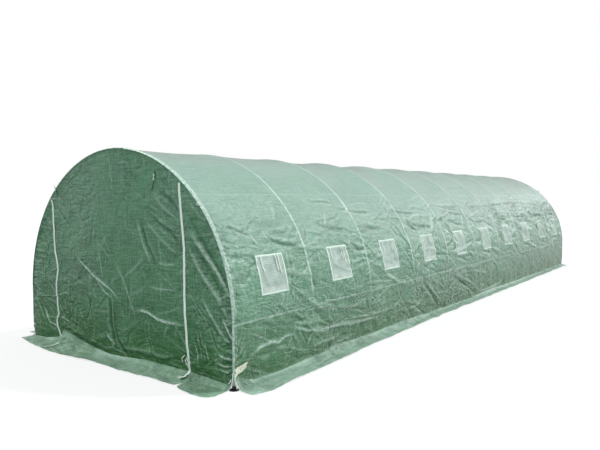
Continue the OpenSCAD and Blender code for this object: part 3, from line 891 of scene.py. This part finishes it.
def lay_end(x_lines, z_parts, folds, seed):
    """An end panel between the foot of the sheet and the arch over it."""
    cloth = Cloth(x_lines, z_parts)
    foot, top = along(cloth.u, END_FOOT), arch_top(cloth.u) - 0.002
    cloth.v = foot + cloth.v * (top - foot)
    x, z = cloth.u, cloth.v
    from_arch = np.minimum(np.minimum(top - z, HALF_WIDTH - np.abs(x)), 0.6)
    inner = ramp(from_arch, 0.0, 0.10)
    low = 1 - ramp(z, 0.3, 0.9)
    out = 0.016 * inner * waves(x * 1.3, z * 1.1, seed)
    out += 0.008 * inner * crumple(x, z * 0.8, 0.42, seed + 1)
    patchy = 0.25 + 0.85 * ramp(waves(x * 1.3, z * 1.7, seed + 15), -0.35, 0.45)
    busy = patchy * (0.0028 + 0.003 * low)
    out += busy * crumple(x, z, 0.22, seed + 5, layers=2)
    out += 0.35 * busy * crumple(x * 1.2, z, 0.09, seed + 9, layers=2)
    # small level wrinkles under the arch
    out += 0.0016 * hump(from_arch, 0.14, 0.14) * waves(x * 6, z * 34, seed + 12)
    # the foot swings out towards the skirt
    out += 0.020 * low * hump(z, 0.10, 0.16)
    cloth.out = out
    cloth.pale = 0.13 * waves(x * 0.8 + 3, z * 0.9, seed + 20)
    for path, width, height, pale in folds:
        cloth.fold(path, width, height, 1.4 * pale or -0.7)  # not whitened: painted shade along it
    rng = np.random.default_rng(seed)
    anywhere = lambda r: (r.uniform(-1.45, 1.45), r.uniform(0.05, 1.8))
    low_down = lambda r: (r.uniform(-1.45, 1.45), abs(r.normal(0, 0.35)))
    any_way = lambda r: r.uniform(0, np.pi)
    # creases by the hundred: count, place, length, lean, width, height, pale
    cloth.scatter(rng, 110, anywhere, (0.08, 0.55), any_way, (0.014, 0.026),
                  (0.0015, 0.004), 0.3)
    cloth.scatter(rng, 70, low_down, (0.06, 0.40), any_way, (0.014, 0.026),
                  (0.002, 0.006), 0.45)
    # puckers at the upright edges, drawn round the hoop, their tops whitened
    # as painted glints
    for side in (-1, 1):
        back_in = np.pi if side > 0 else 0
        edge = lambda r: (side * AT_HOOP, r.uniform(0.06, 0.75))
        inward = lambda r: back_in + r.normal(0, 0.3)
        cloth.scatter(rng, 40, edge, (0.04, 0.16), inward, (0.009, 0.018),
                      (0.002, 0.005), 0.9)
    cloth.out = np.maximum(cloth.out * ramp(from_arch, -0.01, 0.03), -0.012)
    cloth.slack = 0.85 + 0.15 * low
    # sharp ridges whiten: partly stress whitening, partly a painted highlight
    cloth.whiten(5.0, 0.25)
    return cloth


def end_points(cloth, way):
    """Places of an end panel's points: way is 1 for the front, and -1 for the
    back, which is the front turned half round."""
    x = cloth.u + zip_shift(cloth.u, cloth.v)
    at_edge = ramp(np.abs(x), HALF_WIDTH - 0.14, HALF_WIDTH)
    x = x - np.sign(x) * (0.002 + 0.026 * at_edge * (1 - ramp(cloth.v, 0.03, 0.14)))
    y = -END + HALF_SHEET - cloth.out
    return np.stack([way * x, way * y, cloth.v], -1)


def even_turns(start, end, spacing):
    """Grid lines from start to end, closer towards the upright edges."""
    a, b = math.asin(start / HALF_WIDTH), math.asin(end / HALF_WIDTH)
    count = max(2, round((b - a) * HALF_WIDTH / spacing))
    return HALF_WIDTH * np.sin(np.linspace(a, b, count + 1))


def end_cut(start, stop):
    """Width and flat area of an end panel cut along its wandering zips."""
    upright = np.linspace(0, 1, 80)
    left_z, right_z = upright * arch_top(start), upright * arch_top(stop)
    level = min(left_z[-1], right_z[-1]) * upright
    width = stop + zip_shift(stop, level) - start - zip_shift(start, level)
    across = np.linspace(start, stop, 80)
    x = np.concatenate([across, 0 * upright + stop, across[::-1], 0 * upright + start])
    z = np.concatenate([0 * across, right_z, arch_top(across[::-1]), left_z[::-1]])
    x = x + zip_shift(x, z)
    area = 0.5 * abs(x @ np.roll(z, 1) - z @ np.roll(x, 1))
    return float(width.max()), float(area)


BACK_FOLDS = [([(0.9 * p[0] + 0.12, 0.1 + 0.9 * p[1]) for p in path], w, 0.8 * h, q)
              for path, w, h, q in FRONT_FOLDS[::2]]
END_PANELS = (
    ("side_left", -HALF_WIDTH, ZIP_X["far"]),
    ("door", ZIP_X["far"], ZIP_X["near"]),
    ("side_right", ZIP_X["near"], HALF_WIDTH),
)
# what is on the left at the front is on the right at the back
TURNED = {"side_left": "side_right", "door": "door", "side_right": "side_left"}
ends = {}
for end, way, folds, seed, spacing in (
    ("front", 1, FRONT_FOLDS, 70, 0.012), ("back", -1, BACK_FOLDS, 90, 0.017),
):
    for part, start, stop in END_PANELS:
        x_lines = even_turns(start, stop, spacing)
        rows = np.linspace(0, 1, round(1.75 / spacing))
        cloth = lay_end(x_lines, rows, folds, seed)
        ends[end, part] = cloth
        uv = np.stack([way * cloth.u, cloth.v], -1)
        node_name = f"{end}_{part if way > 0 else TURNED[part]}"
        piece = add_grid(f"{node_name}_panel", end_points(cloth, way), uv,
                         cloth.marks(), flip=True)
        wrap_up(piece, end_sheet_painted_shade, (node_name,))
        width, area = end_cut(start, stop)
        height = float(arch_top(cloth.u).max())

# --- skirts ----------------------------------------------------------------

ON_GROUND = 0.0035  # height of the sheet's middle where it lies flat


def lay_skirt(node_name, starts, edges, lines, normal, seed, material):
    """A skirt from the foot of a sheet, down to the ground and out to its
    edge. starts are its points at the sheet and edges how far out it goes."""
    parts = np.linspace(0, 1, 15)
    u = np.repeat(lines[:, None], len(parts), 1)
    w = np.repeat(parts[None, :], len(lines), 0)
    reach = edges[:, None] * w
    drop = starts[:, 2][:, None]
    turn_in = np.clip(reach / (0.35 * drop + 0.045), 0, 1)
    z = ON_GROUND + (drop - ON_GROUND) * (1 - turn_in) ** 1.8
    ripple = 0.007 * np.abs(waves(u * 3.1, w * 1.2, seed))
    ripple += 0.008 * np.maximum(0, crumple(u, reach, 0.13, seed + 1))
    lifted = 0.012 * ramp(w, 0.75, 1) * np.maximum(0, waves(u * 1.9, 0 * w, seed + 5))
    z = z + (ripple + lifted) * ramp(w, 0, 0.3)
    wear_and_painted_light = 0.5 * hump(w, 0.04, 0.05) + 0.8 * crumple(u, reach, 0.2, seed + 7)
    pale = np.clip(wear_and_painted_light, -0.15, 0.5)
    # where it still stands up it is as dark as the wall
    pale -= 0.5 * (1 - turn_in) * ramp(drop, 0.03, 0.07)
    if normal[0]:  # along the sides it is darker next to the wall
        darkened = 0.34 + 0.30 * waves(u * 2.7, reach * 9, seed + 9)
        pale -= darkened * (1 - ramp(reach, 0.02, 0.10))
    else:  # at the ends the flap beside the tear is darker
        pale -= 0.42 * ramp(u, 1.04, 1.07) * (1 - 0.5 * w)

    points = starts[:, None, :] + reach[..., None] * np.array(normal)[None, None, :]
    points[..., 2] = z
    uv = np.stack([u, reach], -1)
    slack = np.full_like(u, 0.8)
    piece = add_grid(f"{node_name}_sheet", points, uv, {"pale": pale, "slack": slack})
    wrap_up(piece, material, (node_name,))
    return piece


# how far out the skirts go: (place, distance)
RIGHT_EDGE = [(-5.02, 0.17), (-4.97, 0.20), (-4.86, 0.235), (-4.6, 0.217), (-4.3, 0.20),
              (-4.0, 0.19), (-3.2, 0.15), (-2.4, 0.13), (-1.2, 0.115), (0.7, 0.115),
              (5.02, 0.11)]
FRONT_EDGE = [(-1.49, 0.145), (-1.2, 0.19), (-0.85, 0.235), (-0.6, 0.225), (-0.2, 0.20),
              (0.08, 0.185), (0.33, 0.205), (0.7, 0.17), (0.9, 0.175), (1.05, 0.175),
              (1.18, 0.222), (1.3, 0.235), (1.42, 0.225), (1.49, 0.165)]

for name, cloth, side in (("skirt_right", right, 1), ("skirt_left", left, -1)):
    points = cover_points(cloth)
    starts = points[:, 0 if side > 0 else -1]
    lines = starts[:, 1]
    reach = along(lines * side, RIGHT_EDGE) + 0.006 * waves(lines * 4, 0 * lines, 61)
    if side < 0:  # its front corner lies spread out
        reach = reach + 0.06 * hump(lines, -END, 0.2)
    piece = lay_skirt(name, starts, reach, lines, (side, 0, 0), 63 + side, skirt_sheet)
    if side < 0:
        piece.data.flip_normals()

for end, way in ENDS:
    strips = [end_points(ends[end, part], way)[:, 0] for part, _, _ in END_PANELS]
    starts = np.concatenate([strips[0], strips[1][1:], strips[2][1:]])
    lines = starts[:, 0] * way
    reach = along(lines, FRONT_EDGE) + 0.004 * waves(lines * 5, 0 * lines, 66)
    reach -= 0.07 * hump(lines, 1.05, 0.014)  # torn beside the right zip
    piece = lay_skirt(f"skirt_{end}", starts, reach, lines, (0, -way, 0), 67 + way,
                      end_skirt_painted_light)
    piece.data.flip_normals()

# --- bands: zips, tapes, ties ----------------------------------------------


def band(path, normals, width, thickness, rib=0.0):
    """Points and faces of a narrow band along a path, lying on a surface with
    these normals, with a rib down its middle where rib is above 0."""
    path, normals = np.array(path, float), np.array(normals, float)
    normals /= np.linalg.norm(normals, axis=1)[:, None]
    ahead = np.gradient(path, axis=0)
    ahead /= np.maximum(np.linalg.norm(ahead, axis=1), 1e-9)[:, None]
    across = np.cross(ahead, normals)
    across /= np.maximum(np.linalg.norm(across, axis=1), 1e-9)[:, None]
    profile = [(-0.5, 0), (-0.5, 1), (-0.18, 1), (-0.12, 1 + rib), (0.12, 1 + rib),
               (0.18, 1), (0.5, 1), (0.5, 0)]
    if not rib:
        profile = [(-0.5, 0), (-0.46, 1), (0, 1.25), (0.46, 1), (0.5, 0)]
    points = [path + across * width * a + normals * thickness * b for a, b in profile]
    points = np.stack(points, 1)
    rows, n = points.shape[:2]
    index = np.arange(rows * n).reshape(rows, n)
    faces = []
    for k in range(n):
        m = (k + 1) % n
        quads = [index[:-1, k], index[:-1, m], index[1:, m], index[1:, k]]
        faces += np.stack(quads, 1).tolist()
    # the ends are closed with fans round their first corner
    for row, order in ((index[0], 1), (index[-1], -1)):
        faces += [[row[0], row[k], row[k + 1]][::order] for k in range(1, n - 1)]
    return points.reshape(-1, 3), faces


def add_bands(name, bands, material, replaced=()):
    """One piece of several bands."""
    points, faces, shift = [], [], 0
    for p, f in bands:
        points.append(p)
        faces += [[i + shift for i in face] for face in f]
        shift += len(p)
    mesh = bpy.data.meshes.new(name)
    mesh.from_pydata(np.concatenate(points).tolist(), [], faces)
    mesh.validate()
    obj = bpy.data.objects.new(name, mesh)
    bpy.context.scene.collection.objects.link(obj)
    bpy.context.view_layer.objects.active = obj
    bpy.ops.object.select_all(action="DESELECT")
    obj.select_set(True)
    bpy.ops.object.mode_set(mode="EDIT")
    bpy.ops.mesh.select_all(action="SELECT")
    bpy.ops.mesh.normals_make_consistent(inside=False)
    bpy.ops.object.mode_set(mode="OBJECT")
    bpy.ops.object.shade_smooth_by_angle(angle=math.radians(50))
    obj.select_set(False)
    wrap_up(obj, material, replaced)


def out_at(cloth, u, v):
    """How far a sheet stands out at its points nearest to (u, v)."""
    a = np.abs(cloth.u[:, 0] - u[:, None]).argmin(1)
    b = np.abs(cloth.v[a] - v[:, None]).argmin(1)
    return cloth.out[a, b]


def on_cover(y, s, lift=0.001):
    """Places and normals on the cover at (y, s)."""
    y, s = np.asarray(y, float), np.asarray(s, float)
    x, z, nx, nz = arch(s)
    cloth = right if s.mean() < SHOULDER else left if s.mean() > ARC - SHOULDER else roof
    out = out_at(cloth, y, s) - HALF_SHEET + lift
    normals = np.stack([nx, 0 * nx, nz], -1)
    return np.stack([x, y, z], -1) + normals * out[:, None], normals


def on_end(end, x, z, lift=0.001):
    """Places and normals on an end panel at (x, z), seen as on the front."""
    way = 1 if end == "front" else -1
    x, z = np.asarray(x, float), np.asarray(z, float)
    out = np.zeros_like(x)
    for part, start, stop in END_PANELS:
        cloth = ends[end, part]
        inside = (x >= start - 1e-6) & (x <= stop + 1e-6)
        if inside.any():
            out[inside] = out_at(cloth, x[inside], z[inside])
    moved = x + zip_shift(x, z)
    y = -END + HALF_SHEET - out - lift
    points = np.stack([way * moved, way * y, z], -1)
    return points, np.tile((0.0, -way, 0.0), (len(x), 1))


def smooth_path(points, count):
    """count points along a path, with its corners rounded off."""
    points = np.array(points, float)
    lengths = np.linalg.norm(np.diff(points, axis=0), axis=1)
    marks = np.concatenate([[0], np.cumsum(lengths)])
    places = np.linspace(0, marks[-1], count)
    path = np.stack([np.interp(places, marks, column) for column in points.T], 1)
    for _ in range(3):
        path[1:-1] = (path[:-2] + 2 * path[1:-1] + path[2:]) / 4
    return path


# where the loose ends of the zips lie on the skirt: x, distance out, height
ZIP_TAILS = {
    "near": ((1.012, 0.035, 0.05), (1.0, 0.06, 0.03), (0.96, 0.085, 0.024)),
    "far": ((-0.90, 0.02, 0.07), (-0.87, 0.06, 0.03), (-0.855, 0.12, 0.018),
            (-0.86, 0.225, 0.016)),
}
ZIP_WIDTH, ZIP_THICKNESS = 0.024, 0.0018
COIL = 1.4  # how far its teeth stand out, in thicknesses of its tape
for end, way in ENDS:
    bands = []
    for key, x0 in ZIP_X.items():
        top = float(arch_top(x0)) - 0.03
        foot = float(along(x0, END_FOOT))
        z = np.linspace(top, foot + 0.004, 90)
        places, normals = on_end(end, np.full_like(z, x0), z, 0.0012)
        tail = [places[-1]]
        tail += [(way * x, way * (-END - out), z) for x, out, z in ZIP_TAILS[key]]
        tail = smooth_path(tail, 24)
        # it turns from standing on the panel to lying on the skirt
        turn = ramp(np.linspace(0, 1, 24), 0, 0.45)[:, None]
        tail_normals = (1 - turn) * np.array([0, -way, 0]) + turn * np.array([0, 0, 1])
        path = np.concatenate([places, tail[1:]])
        path[:, 0] += 0.0025 * waves(np.arange(len(path)) / 4.0, np.zeros(len(path)), 17)
        normals = np.concatenate([normals, tail_normals[1:]])
        bands.append(band(path, normals, ZIP_WIDTH, ZIP_THICKNESS, COIL))
    add_bands(f"{end}_door_zips", bands, zip_white, (f"{end}_zips",))

# the cover's hem, drawn with a cord round the end hoops: it starts a little
# above the skirt, and from one foot almost to the ridge it carries a painted
# highlight
HEM_FOOT = 0.135
HIGHLIGHT_TO = 2.62
for end, way in ENDS:
    up = np.linspace(HEM_FOOT, ARC - HEM_FOOT, 420)
    x, z, nx, nz = arch(up)
    hem = 0.0016 * waves(up * 24, 0 * up, 33) + 0.0012 * waves(up * 60, 0 * up, 34)
    path = np.stack([x + nx * (hem - 0.001), np.full_like(x, -END - 0.001) - hem * 0.5,
                     z + nz * (hem - 0.001)], -1)
    normals = np.stack([nx, np.full_like(nx, -0.8), nz], -1)
    if way < 0:
        path[:, :2] *= -1
        normals[:, :2] *= -1
    cut = int((up < HIGHLIGHT_TO).sum())
    wear_and_painted_light = band(path[:cut + 1], normals[:cut + 1], 0.017, 0.0024)
    whole = band(path[cut:], normals[cut:], 0.010, 0.0020)
    add_bands(f"{end}_hem_highlight", [wear_and_painted_light], highlight_hem)
    add_bands(f"{end}_hem", [whole], green_hem)

NET_LINES = 22  # grid lines each way in a window's netting
for side in ("right", "left"):
    turned = (lambda y, s: (y, s)) if side == "right" else (lambda y, s: (-y, ARC - s))
    tapes, ties = [], []
    net_points, net_uv, net_faces = [], [], []
    rng = np.random.default_rng(21)
    for k in range(BAYS):
        middle = FIRST_HOOP + (k + 0.5) * BAY
        a, b = middle - half_window, middle + half_window
        edge = BORDER / 2
        for (y0, s0), (y1, s1) in (
            ((a - edge, LINTEL + BORDER), (a - edge, SILL - BORDER)),
            ((a - BORDER, SILL - edge), (b + BORDER, SILL - edge)),
            ((b + edge, SILL - BORDER), (b + edge, LINTEL + BORDER)),
            ((b + BORDER, LINTEL + edge), (a - BORDER, LINTEL + edge)),
        ):
            t = np.linspace(0, 1, 25)
            y, s = turned(y0 + (y1 - y0) * t, s0 + (s1 - s0) * t)
            path, normals = on_cover(y, s, 0.0008)
            tapes.append(band(path, normals, BORDER, 0.0012))
        # three ties hang over the net from its top edge
        for start, lean, length in (
            (a + 0.042, 0.004, 0.125), (b - 0.085, -0.003, 0.13), (b - 0.052, 0.010, 0.155),
        ):
            t = np.linspace(0, 1, 20)
            length *= rng.uniform(0.85, 1.1)
            lean += rng.normal(0, 0.006)
            y, s = turned(start + lean * t, LINTEL + 0.004 - length * t)
            path, normals = on_cover(y, s, 0.004)
            path += normals * (0.003 * np.sin(7 * t + k))[:, None]
            ties.append(band(path, normals, 0.013, 0.0010))
        # the net, which bellies in a little
        u = np.linspace(a, b, NET_LINES)
        v = np.linspace(SILL, LINTEL, NET_LINES)
        u, v = np.meshgrid(u, v, indexing="ij")
        y, s = turned(u, v)
        path, normals = on_cover(y.ravel(), s.ravel(), 0.0)
        belly = np.sin(np.pi * (u - a) / (b - a))
        belly = (belly * np.sin(np.pi * (v - SILL) / (LINTEL - SILL))).ravel()
        path -= normals * ((0.004 + 0.003 * rng.random()) * belly)[:, None]
        index = np.arange(NET_LINES**2).reshape(NET_LINES, NET_LINES) + k * NET_LINES**2
        quads = [index[:-1, :-1], index[:-1, 1:], index[1:, 1:], index[1:, :-1]]
        net_points.append(path)
        net_uv.append(np.stack([y.ravel(), s.ravel()], -1))
        net_faces.append(np.stack(quads, -1).reshape(-1, 4))
    net = add_mesh(f"window_nets_{side}", np.concatenate(net_points),
                   np.concatenate(net_faces), np.concatenate(net_uv))
    wrap_up(net, window_mesh, (f"windows_{side}",))
    add_bands(f"window_borders_{side}", tapes, white_tape,
              (f"window_tapes_{side}",))
    add_bands(f"window_ties_{side}", ties, white_tape)

# --- small hardware ----------------------------------------------------------


def edit(select, *operations):
    """Selects the faces that select picks by their centre and normal, and runs
    the operations on them in edit mode."""
    mesh = bpy.context.object.data
    bpy.ops.object.mode_set(mode="EDIT")
    bpy.ops.mesh.select_mode(type="FACE")
    bpy.ops.mesh.select_all(action="DESELECT")
    bpy.ops.object.mode_set(mode="OBJECT")
    for face in mesh.polygons:
        face.select = bool(select(face.center, face.normal))
    bpy.ops.object.mode_set(mode="EDIT")
    for operation, settings in operations:
        operation(**settings)
    bpy.ops.object.mode_set(mode="OBJECT")


def extrude(*by):
    """An operation for edit: draws the faces out by a distance."""
    return bpy.ops.mesh.extrude_region_move, {"TRANSFORM_OT_translate": {"value": by}}


def widen(*times):
    """An operation for edit: makes the faces larger or smaller."""
    return bpy.ops.transform.resize, {"value": times}


def inset(thickness):
    """An operation for edit: leaves a rim round the faces."""
    return bpy.ops.mesh.inset, {"thickness": thickness}


def bevel(offset, segments):
    """An operation for edit: rounds the edges of the faces."""
    return bpy.ops.mesh.bevel, {"offset": offset, "segments": segments,
                                "affect": "EDGES"}


def finish_pattern(*others):
    """Joins the parts just made into one pattern to copy, with its place in
    its mesh, and takes it off the scene."""
    pattern = bpy.context.object
    bpy.ops.object.select_all(action="DESELECT")
    for part in (pattern, *others):
        part.select_set(True)
        bpy.context.view_layer.objects.active = part
    bpy.ops.object.transform_apply(location=True, rotation=True, scale=True)
    if others:
        bpy.ops.object.join()
    pattern = bpy.context.object
    bpy.ops.object.shade_smooth_by_angle(angle=math.radians(35))
    mesh = pattern.data.copy()
    bpy.data.objects.remove(pattern)
    return mesh


def set_out(name, pattern, places, material):
    """One piece of copies of a pattern, each turned and put in its place."""
    copies = []
    for k, matrix in enumerate(places):
        mesh = pattern.copy()
        mesh.transform(matrix)
        obj = bpy.data.objects.new(name if k == 0 else f"{name}_{k}", mesh)
        bpy.context.scene.collection.objects.link(obj)
        copies.append(obj)
    bpy.ops.object.select_all(action="DESELECT")
    for obj in copies:
        obj.select_set(True)
    bpy.context.view_layer.objects.active = copies[0]
    if len(copies) > 1:
        bpy.ops.object.join()
    copies[0].select_set(False)
    wrap_up(copies[0], material)


def stand(place, up, ahead=(0, 1, 0)):
    """A matrix that stands a pattern at a place, its z along up and its x as
    near ahead as it can be."""
    z = Vector(up).normalized()
    y = z.cross(Vector(ahead)).normalized()
    x = y.cross(z)
    turn = Matrix((x, y, z)).transposed().to_4x4()
    return Matrix.Translation(place) @ turn


everything = lambda c, n: True
upwards = lambda c, n: n.z > 0.9

# a hexagon set screw with a socket in its head
bpy.ops.object.select_all(action="DESELECT")
bpy.ops.mesh.primitive_cylinder_add(vertices=6, radius=0.0055, depth=0.005,
                                    location=(0, 0, 0.0015))
edit(upwards, bevel(0.0008, 1))
edit(lambda c, n: upwards(c, n) and abs(c.x) + abs(c.y) < 0.001,
     inset(0.0020), extrude(0, 0, -0.0018))
screw = finish_pattern()
# how deep a clamp's inner face lies: from the sheet to the middle of the hoop,
# on to the middle of the rail, and on to the face
SCREW_DEPTH = 0.0188 + 0.0235 + 0.0153
for row, s_row in (("base_clamps_right", LEG), ("shoulder_clamps_right", SHOULDER),
                   ("ridge_clamps", RIDGE), ("shoulder_clamps_left", ARC - SHOULDER),
                   ("base_clamps_left", ARC - LEG)):
    x, z, nx, nz = (float(value) for value in arch(np.array(s_row)))
    inward = Vector((-nx, 0, -nz))
    places = []
    for i in range(BAYS + 1):
        hoop = FIRST_HOOP + i * BAY
        for shift in (-0.013, 0.013):
            place = Vector((x, hoop + shift, z)) + inward * SCREW_DEPTH
            places.append(stand(place, inward))
    set_out(row.replace("clamps", "clamp_screws"), screw, places, plated)

# a zip slider: a rounded body with a bridge, and a pull that widens at its end
bpy.ops.object.select_all(action="DESELECT")
bpy.ops.mesh.primitive_cube_add(size=1, location=(0, 0, 0.004), scale=(0.013, 0.017, 0.006))
bpy.ops.object.transform_apply(location=True, rotation=True, scale=True)
edit(upwards, inset(0.0035), extrude(0, 0, 0.003))
edit(everything, bevel(0.0012, 2))
body = bpy.context.object
bpy.ops.mesh.primitive_cube_add(size=1, location=(0, -0.026, 0.0075),
                                scale=(0.007, 0.034, 0.0020))
bpy.ops.object.transform_apply(location=True, rotation=True, scale=True)
edit(lambda c, n: n.y < -0.9, extrude(0, -0.006, 0), widen(1.5, 1, 1))
edit(everything, bevel(0.0006, 2))
slider = finish_pattern(body)
for end, way in ENDS:
    places = []
    for x0, height in ((ZIP_X["near"], 0.17), (ZIP_X["far"], 0.26)):
        place, _ = on_end(end, [x0], [height], 0.003)
        places.append(stand(place[0], (0, -way, 0), (way, 0, 0)))
    set_out(f"{end}_zip_sliders", slider, places, zip_white)

# a tie toggle: a barrel with a waist and rounded ends
bpy.ops.object.select_all(action="DESELECT")
bpy.ops.mesh.primitive_cylinder_add(vertices=20, radius=0.0042, depth=0.012,
                                    location=(0, 0, 0))
for sense in (1, -1):
    edit(lambda c, n: n.z * sense > 0.9,
         extrude(0, 0, 0.005 * sense), widen(1.5, 1.5, 1),
         extrude(0, 0, 0.013 * sense),
         extrude(0, 0, 0.003 * sense), widen(0.6, 0.6, 1))
toggle = finish_pattern()

# an eyelet ring, a little wider where its tape pulls
bpy.ops.object.select_all(action="DESELECT")
bpy.ops.mesh.primitive_torus_add(major_radius=0.0105, minor_radius=0.0030,
                                 major_segments=28, minor_segments=10)
edit(lambda c, n: c.y > 0.008, widen(1.25, 1, 1))
ring = finish_pattern()

for end, way in ENDS:
    tops, _ = on_end(end, [0.591, -0.993], [1.646, 1.572], 0.009)
    places = [stand(tops[0], (way * 0.10, 0, 1), (0, 1, 0)),
              stand(tops[1], (way * -0.42, 0, 1), (0, 1, 0))]
    set_out(f"{end}_door_toggles", toggle, places, white_tape)
    straps = []
    for points in (((0.597, 1.70), (0.590, 1.64), (0.575, 1.58), (0.556, 1.535)),
                   ((-1.012, 1.60), (-0.99, 1.57), (-0.975, 1.53), (-0.97, 1.50))):
        path = smooth_path(points, 24)
        spots, normals = on_end(end, path[:, 0], path[:, 1], 0.003)
        straps.append(band(spots, normals, 0.010, 0.0014))
    add_bands(f"{end}_door_straps", straps, dark_strap)
    spot, _ = on_end(end, [1.128], [1.421], 0.005)
    place = stand(spot[0], (way * 0.3, -way, 0.2), (way, 0, 0))
    set_out(f"{end}_tie_ring", ring, [place], zip_white)

# --- front right corner: the sheets pulled apart, and their frayed edges -------

# threads of tape hang at the foot plate, and beside the right zip
tatters = []
for points in (
    ((1.492, -5.022, 0.145), (1.494, -5.026, 0.10), (1.486, -5.030, 0.05),
     (1.47, -5.036, 0.012)),
    ((1.500, -5.015, 0.15), (1.503, -5.014, 0.10), (1.508, -5.010, 0.055),
     (1.52, -5.004, 0.014)),
    ((1.488, -5.021, 0.14), (1.480, -5.024, 0.11), (1.472, -5.028, 0.075),
     (1.458, -5.034, 0.05)),
):
    path = smooth_path(points, 22)
    normals = np.tile((0.55, -0.83, 0.1), (len(path), 1))
    tatters.append(band(path, normals, 0.009, 0.0012))
for points in (((0.985, 0.175), (1.012, 0.150), (1.040, 0.142)),
               ((0.975, 0.160), (1.000, 0.125), (1.002, 0.095)),
               ((0.965, 0.190), (0.944, 0.160), (0.950, 0.130))):
    x, z = smooth_path(points, 16).T
    spots, normals = on_end("front", x - along(z, ZIP_NEAR), z, 0.004)
    spots += normals * (0.006 * np.sin(np.linspace(0, 4, 16)))[:, None]
    tatters.append(band(spots, normals, 0.007, 0.0012))
add_bands("front_corner_frayed_tape", tatters, zip_white)

# a crumpled scrap lies on the cover's corner
a, b = np.meshgrid(np.linspace(0, 1, 22), np.linspace(0, 1, 18), indexing="ij")
scrap_y = -5.012 + 0.135 * a + 0.012 * waves(a * 2, b * 2, 81)
scrap_s = 0.095 + 0.06 * a + 0.07 * b * (1 - 0.4 * a) + 0.012 * waves(a * 2, b * 2, 82)
spots, normals = on_cover(scrap_y.ravel(), scrap_s.ravel(), 0.004)
heave = 0.010 * np.abs(crumple(a, b, 0.5, 83)).ravel() + 0.002
spots = (spots + normals * heave[:, None]).reshape(*a.shape, 3)
scrap = add_grid("front_corner_scrap", spots, np.stack([a, b], -1), flip=True)
wrap_up(scrap, cream_scrap)

# --- stage, light and camera -----------------------------------------------

WHITE = (1, 1, 1, 1)
bpy.ops.mesh.primitive_plane_add(size=400, location=(0, 0, -0.001))
floor = bpy.context.object
floor.name = "floor"
floor_material, tree = new_material("pale_studio_floor")
rays = add(tree, "LightPath")
tone = add(tree, "Mix", {SHARE: rays.outputs["Is Camera Ray"], FIRST: linear("#c4c8c4"),
                         SECOND: WHITE}, data_type="RGBA")
paint = add(tree, "BsdfDiffuse", {"Color": tone.outputs[RESULT]})
white = add(tree, "Emission", {"Color": WHITE, "Strength": 1.0})
seen = add(tree, "Math", {0: rays.outputs["Is Camera Ray"], 1: 0.72}, operation="MULTIPLY")
shown = add(tree, "MixShader", {0: seen, 1: paint, 2: white})
add(tree, "OutputMaterial", {"Surface": shown})
floor.data.materials.append(floor_material)
floor.select_set(False)

world = bpy.data.worlds.new("soft_studio")
bpy.context.scene.world = world
world.use_nodes = True
tree = world.node_tree
tree.nodes.clear()
rays = add(tree, "LightPath")
direct = add(tree, "Math", {0: rays.outputs["Is Camera Ray"],
                            1: rays.outputs["Is Glossy Ray"]}, operation="MAXIMUM")
direct = add(tree, "Math", {0: direct, 1: rays.outputs["Is Transmission Ray"]},
             operation="MAXIMUM")
dim = add(tree, "Background", {"Color": (0.92, 0.97, 1.0, 1), "Strength": 0.22})
plain = add(tree, "Background", {"Color": WHITE, "Strength": 1.0})
lit = add(tree, "MixShader", {0: direct, 1: dim, 2: plain})
add(tree, "OutputWorld", {"Surface": lit})

# suns: name, strength, how wide it is in degrees, colour, where it stands
for name, energy, wide, colour, towards in (
    ("key_light", 2.3, 8, (1, 1, 1), (0.42, 0.52, 0.73)),
    ("overhead_light", 1.0, 110, (0.88, 0.95, 1.0), (0, 0, 1)),
    ("side_light", 1.5, 12, (1, 1, 1), (-0.50, -0.36, 0.85)),
    ("rim_light", 0.42, 16, (0.90, 0.97, 1.0), (0.25, 0.93, 0.28)),
):
    sun = bpy.data.objects.new(name, bpy.data.lights.new(name, "SUN"))
    sun.data.energy = energy
    sun.data.angle = math.radians(wide)
    sun.data.color = colour
    sun.rotation_euler = Vector(towards).to_track_quat("Z", "Y").to_euler()
    bpy.context.scene.collection.objects.link(sun)

camera = bpy.data.objects.new("camera", bpy.data.cameras.new("camera"))
camera.data.lens = 34.09
camera.data.sensor_width = 36.0
camera.data.clip_end = 500
camera.matrix_world = (
    Matrix.Translation((4.501, -8.069, 1.462))
    @ Matrix.Rotation(math.radians(37.735), 4, "Z")
    @ Matrix.Rotation(math.radians(90 - 2.716), 4, "X")
    @ Matrix.Rotation(math.radians(-0.306), 4, "Z")
)
bpy.context.scene.collection.objects.link(camera)
bpy.context.scene.camera = camera
bpy.context.scene.view_settings.view_transform = "Standard"
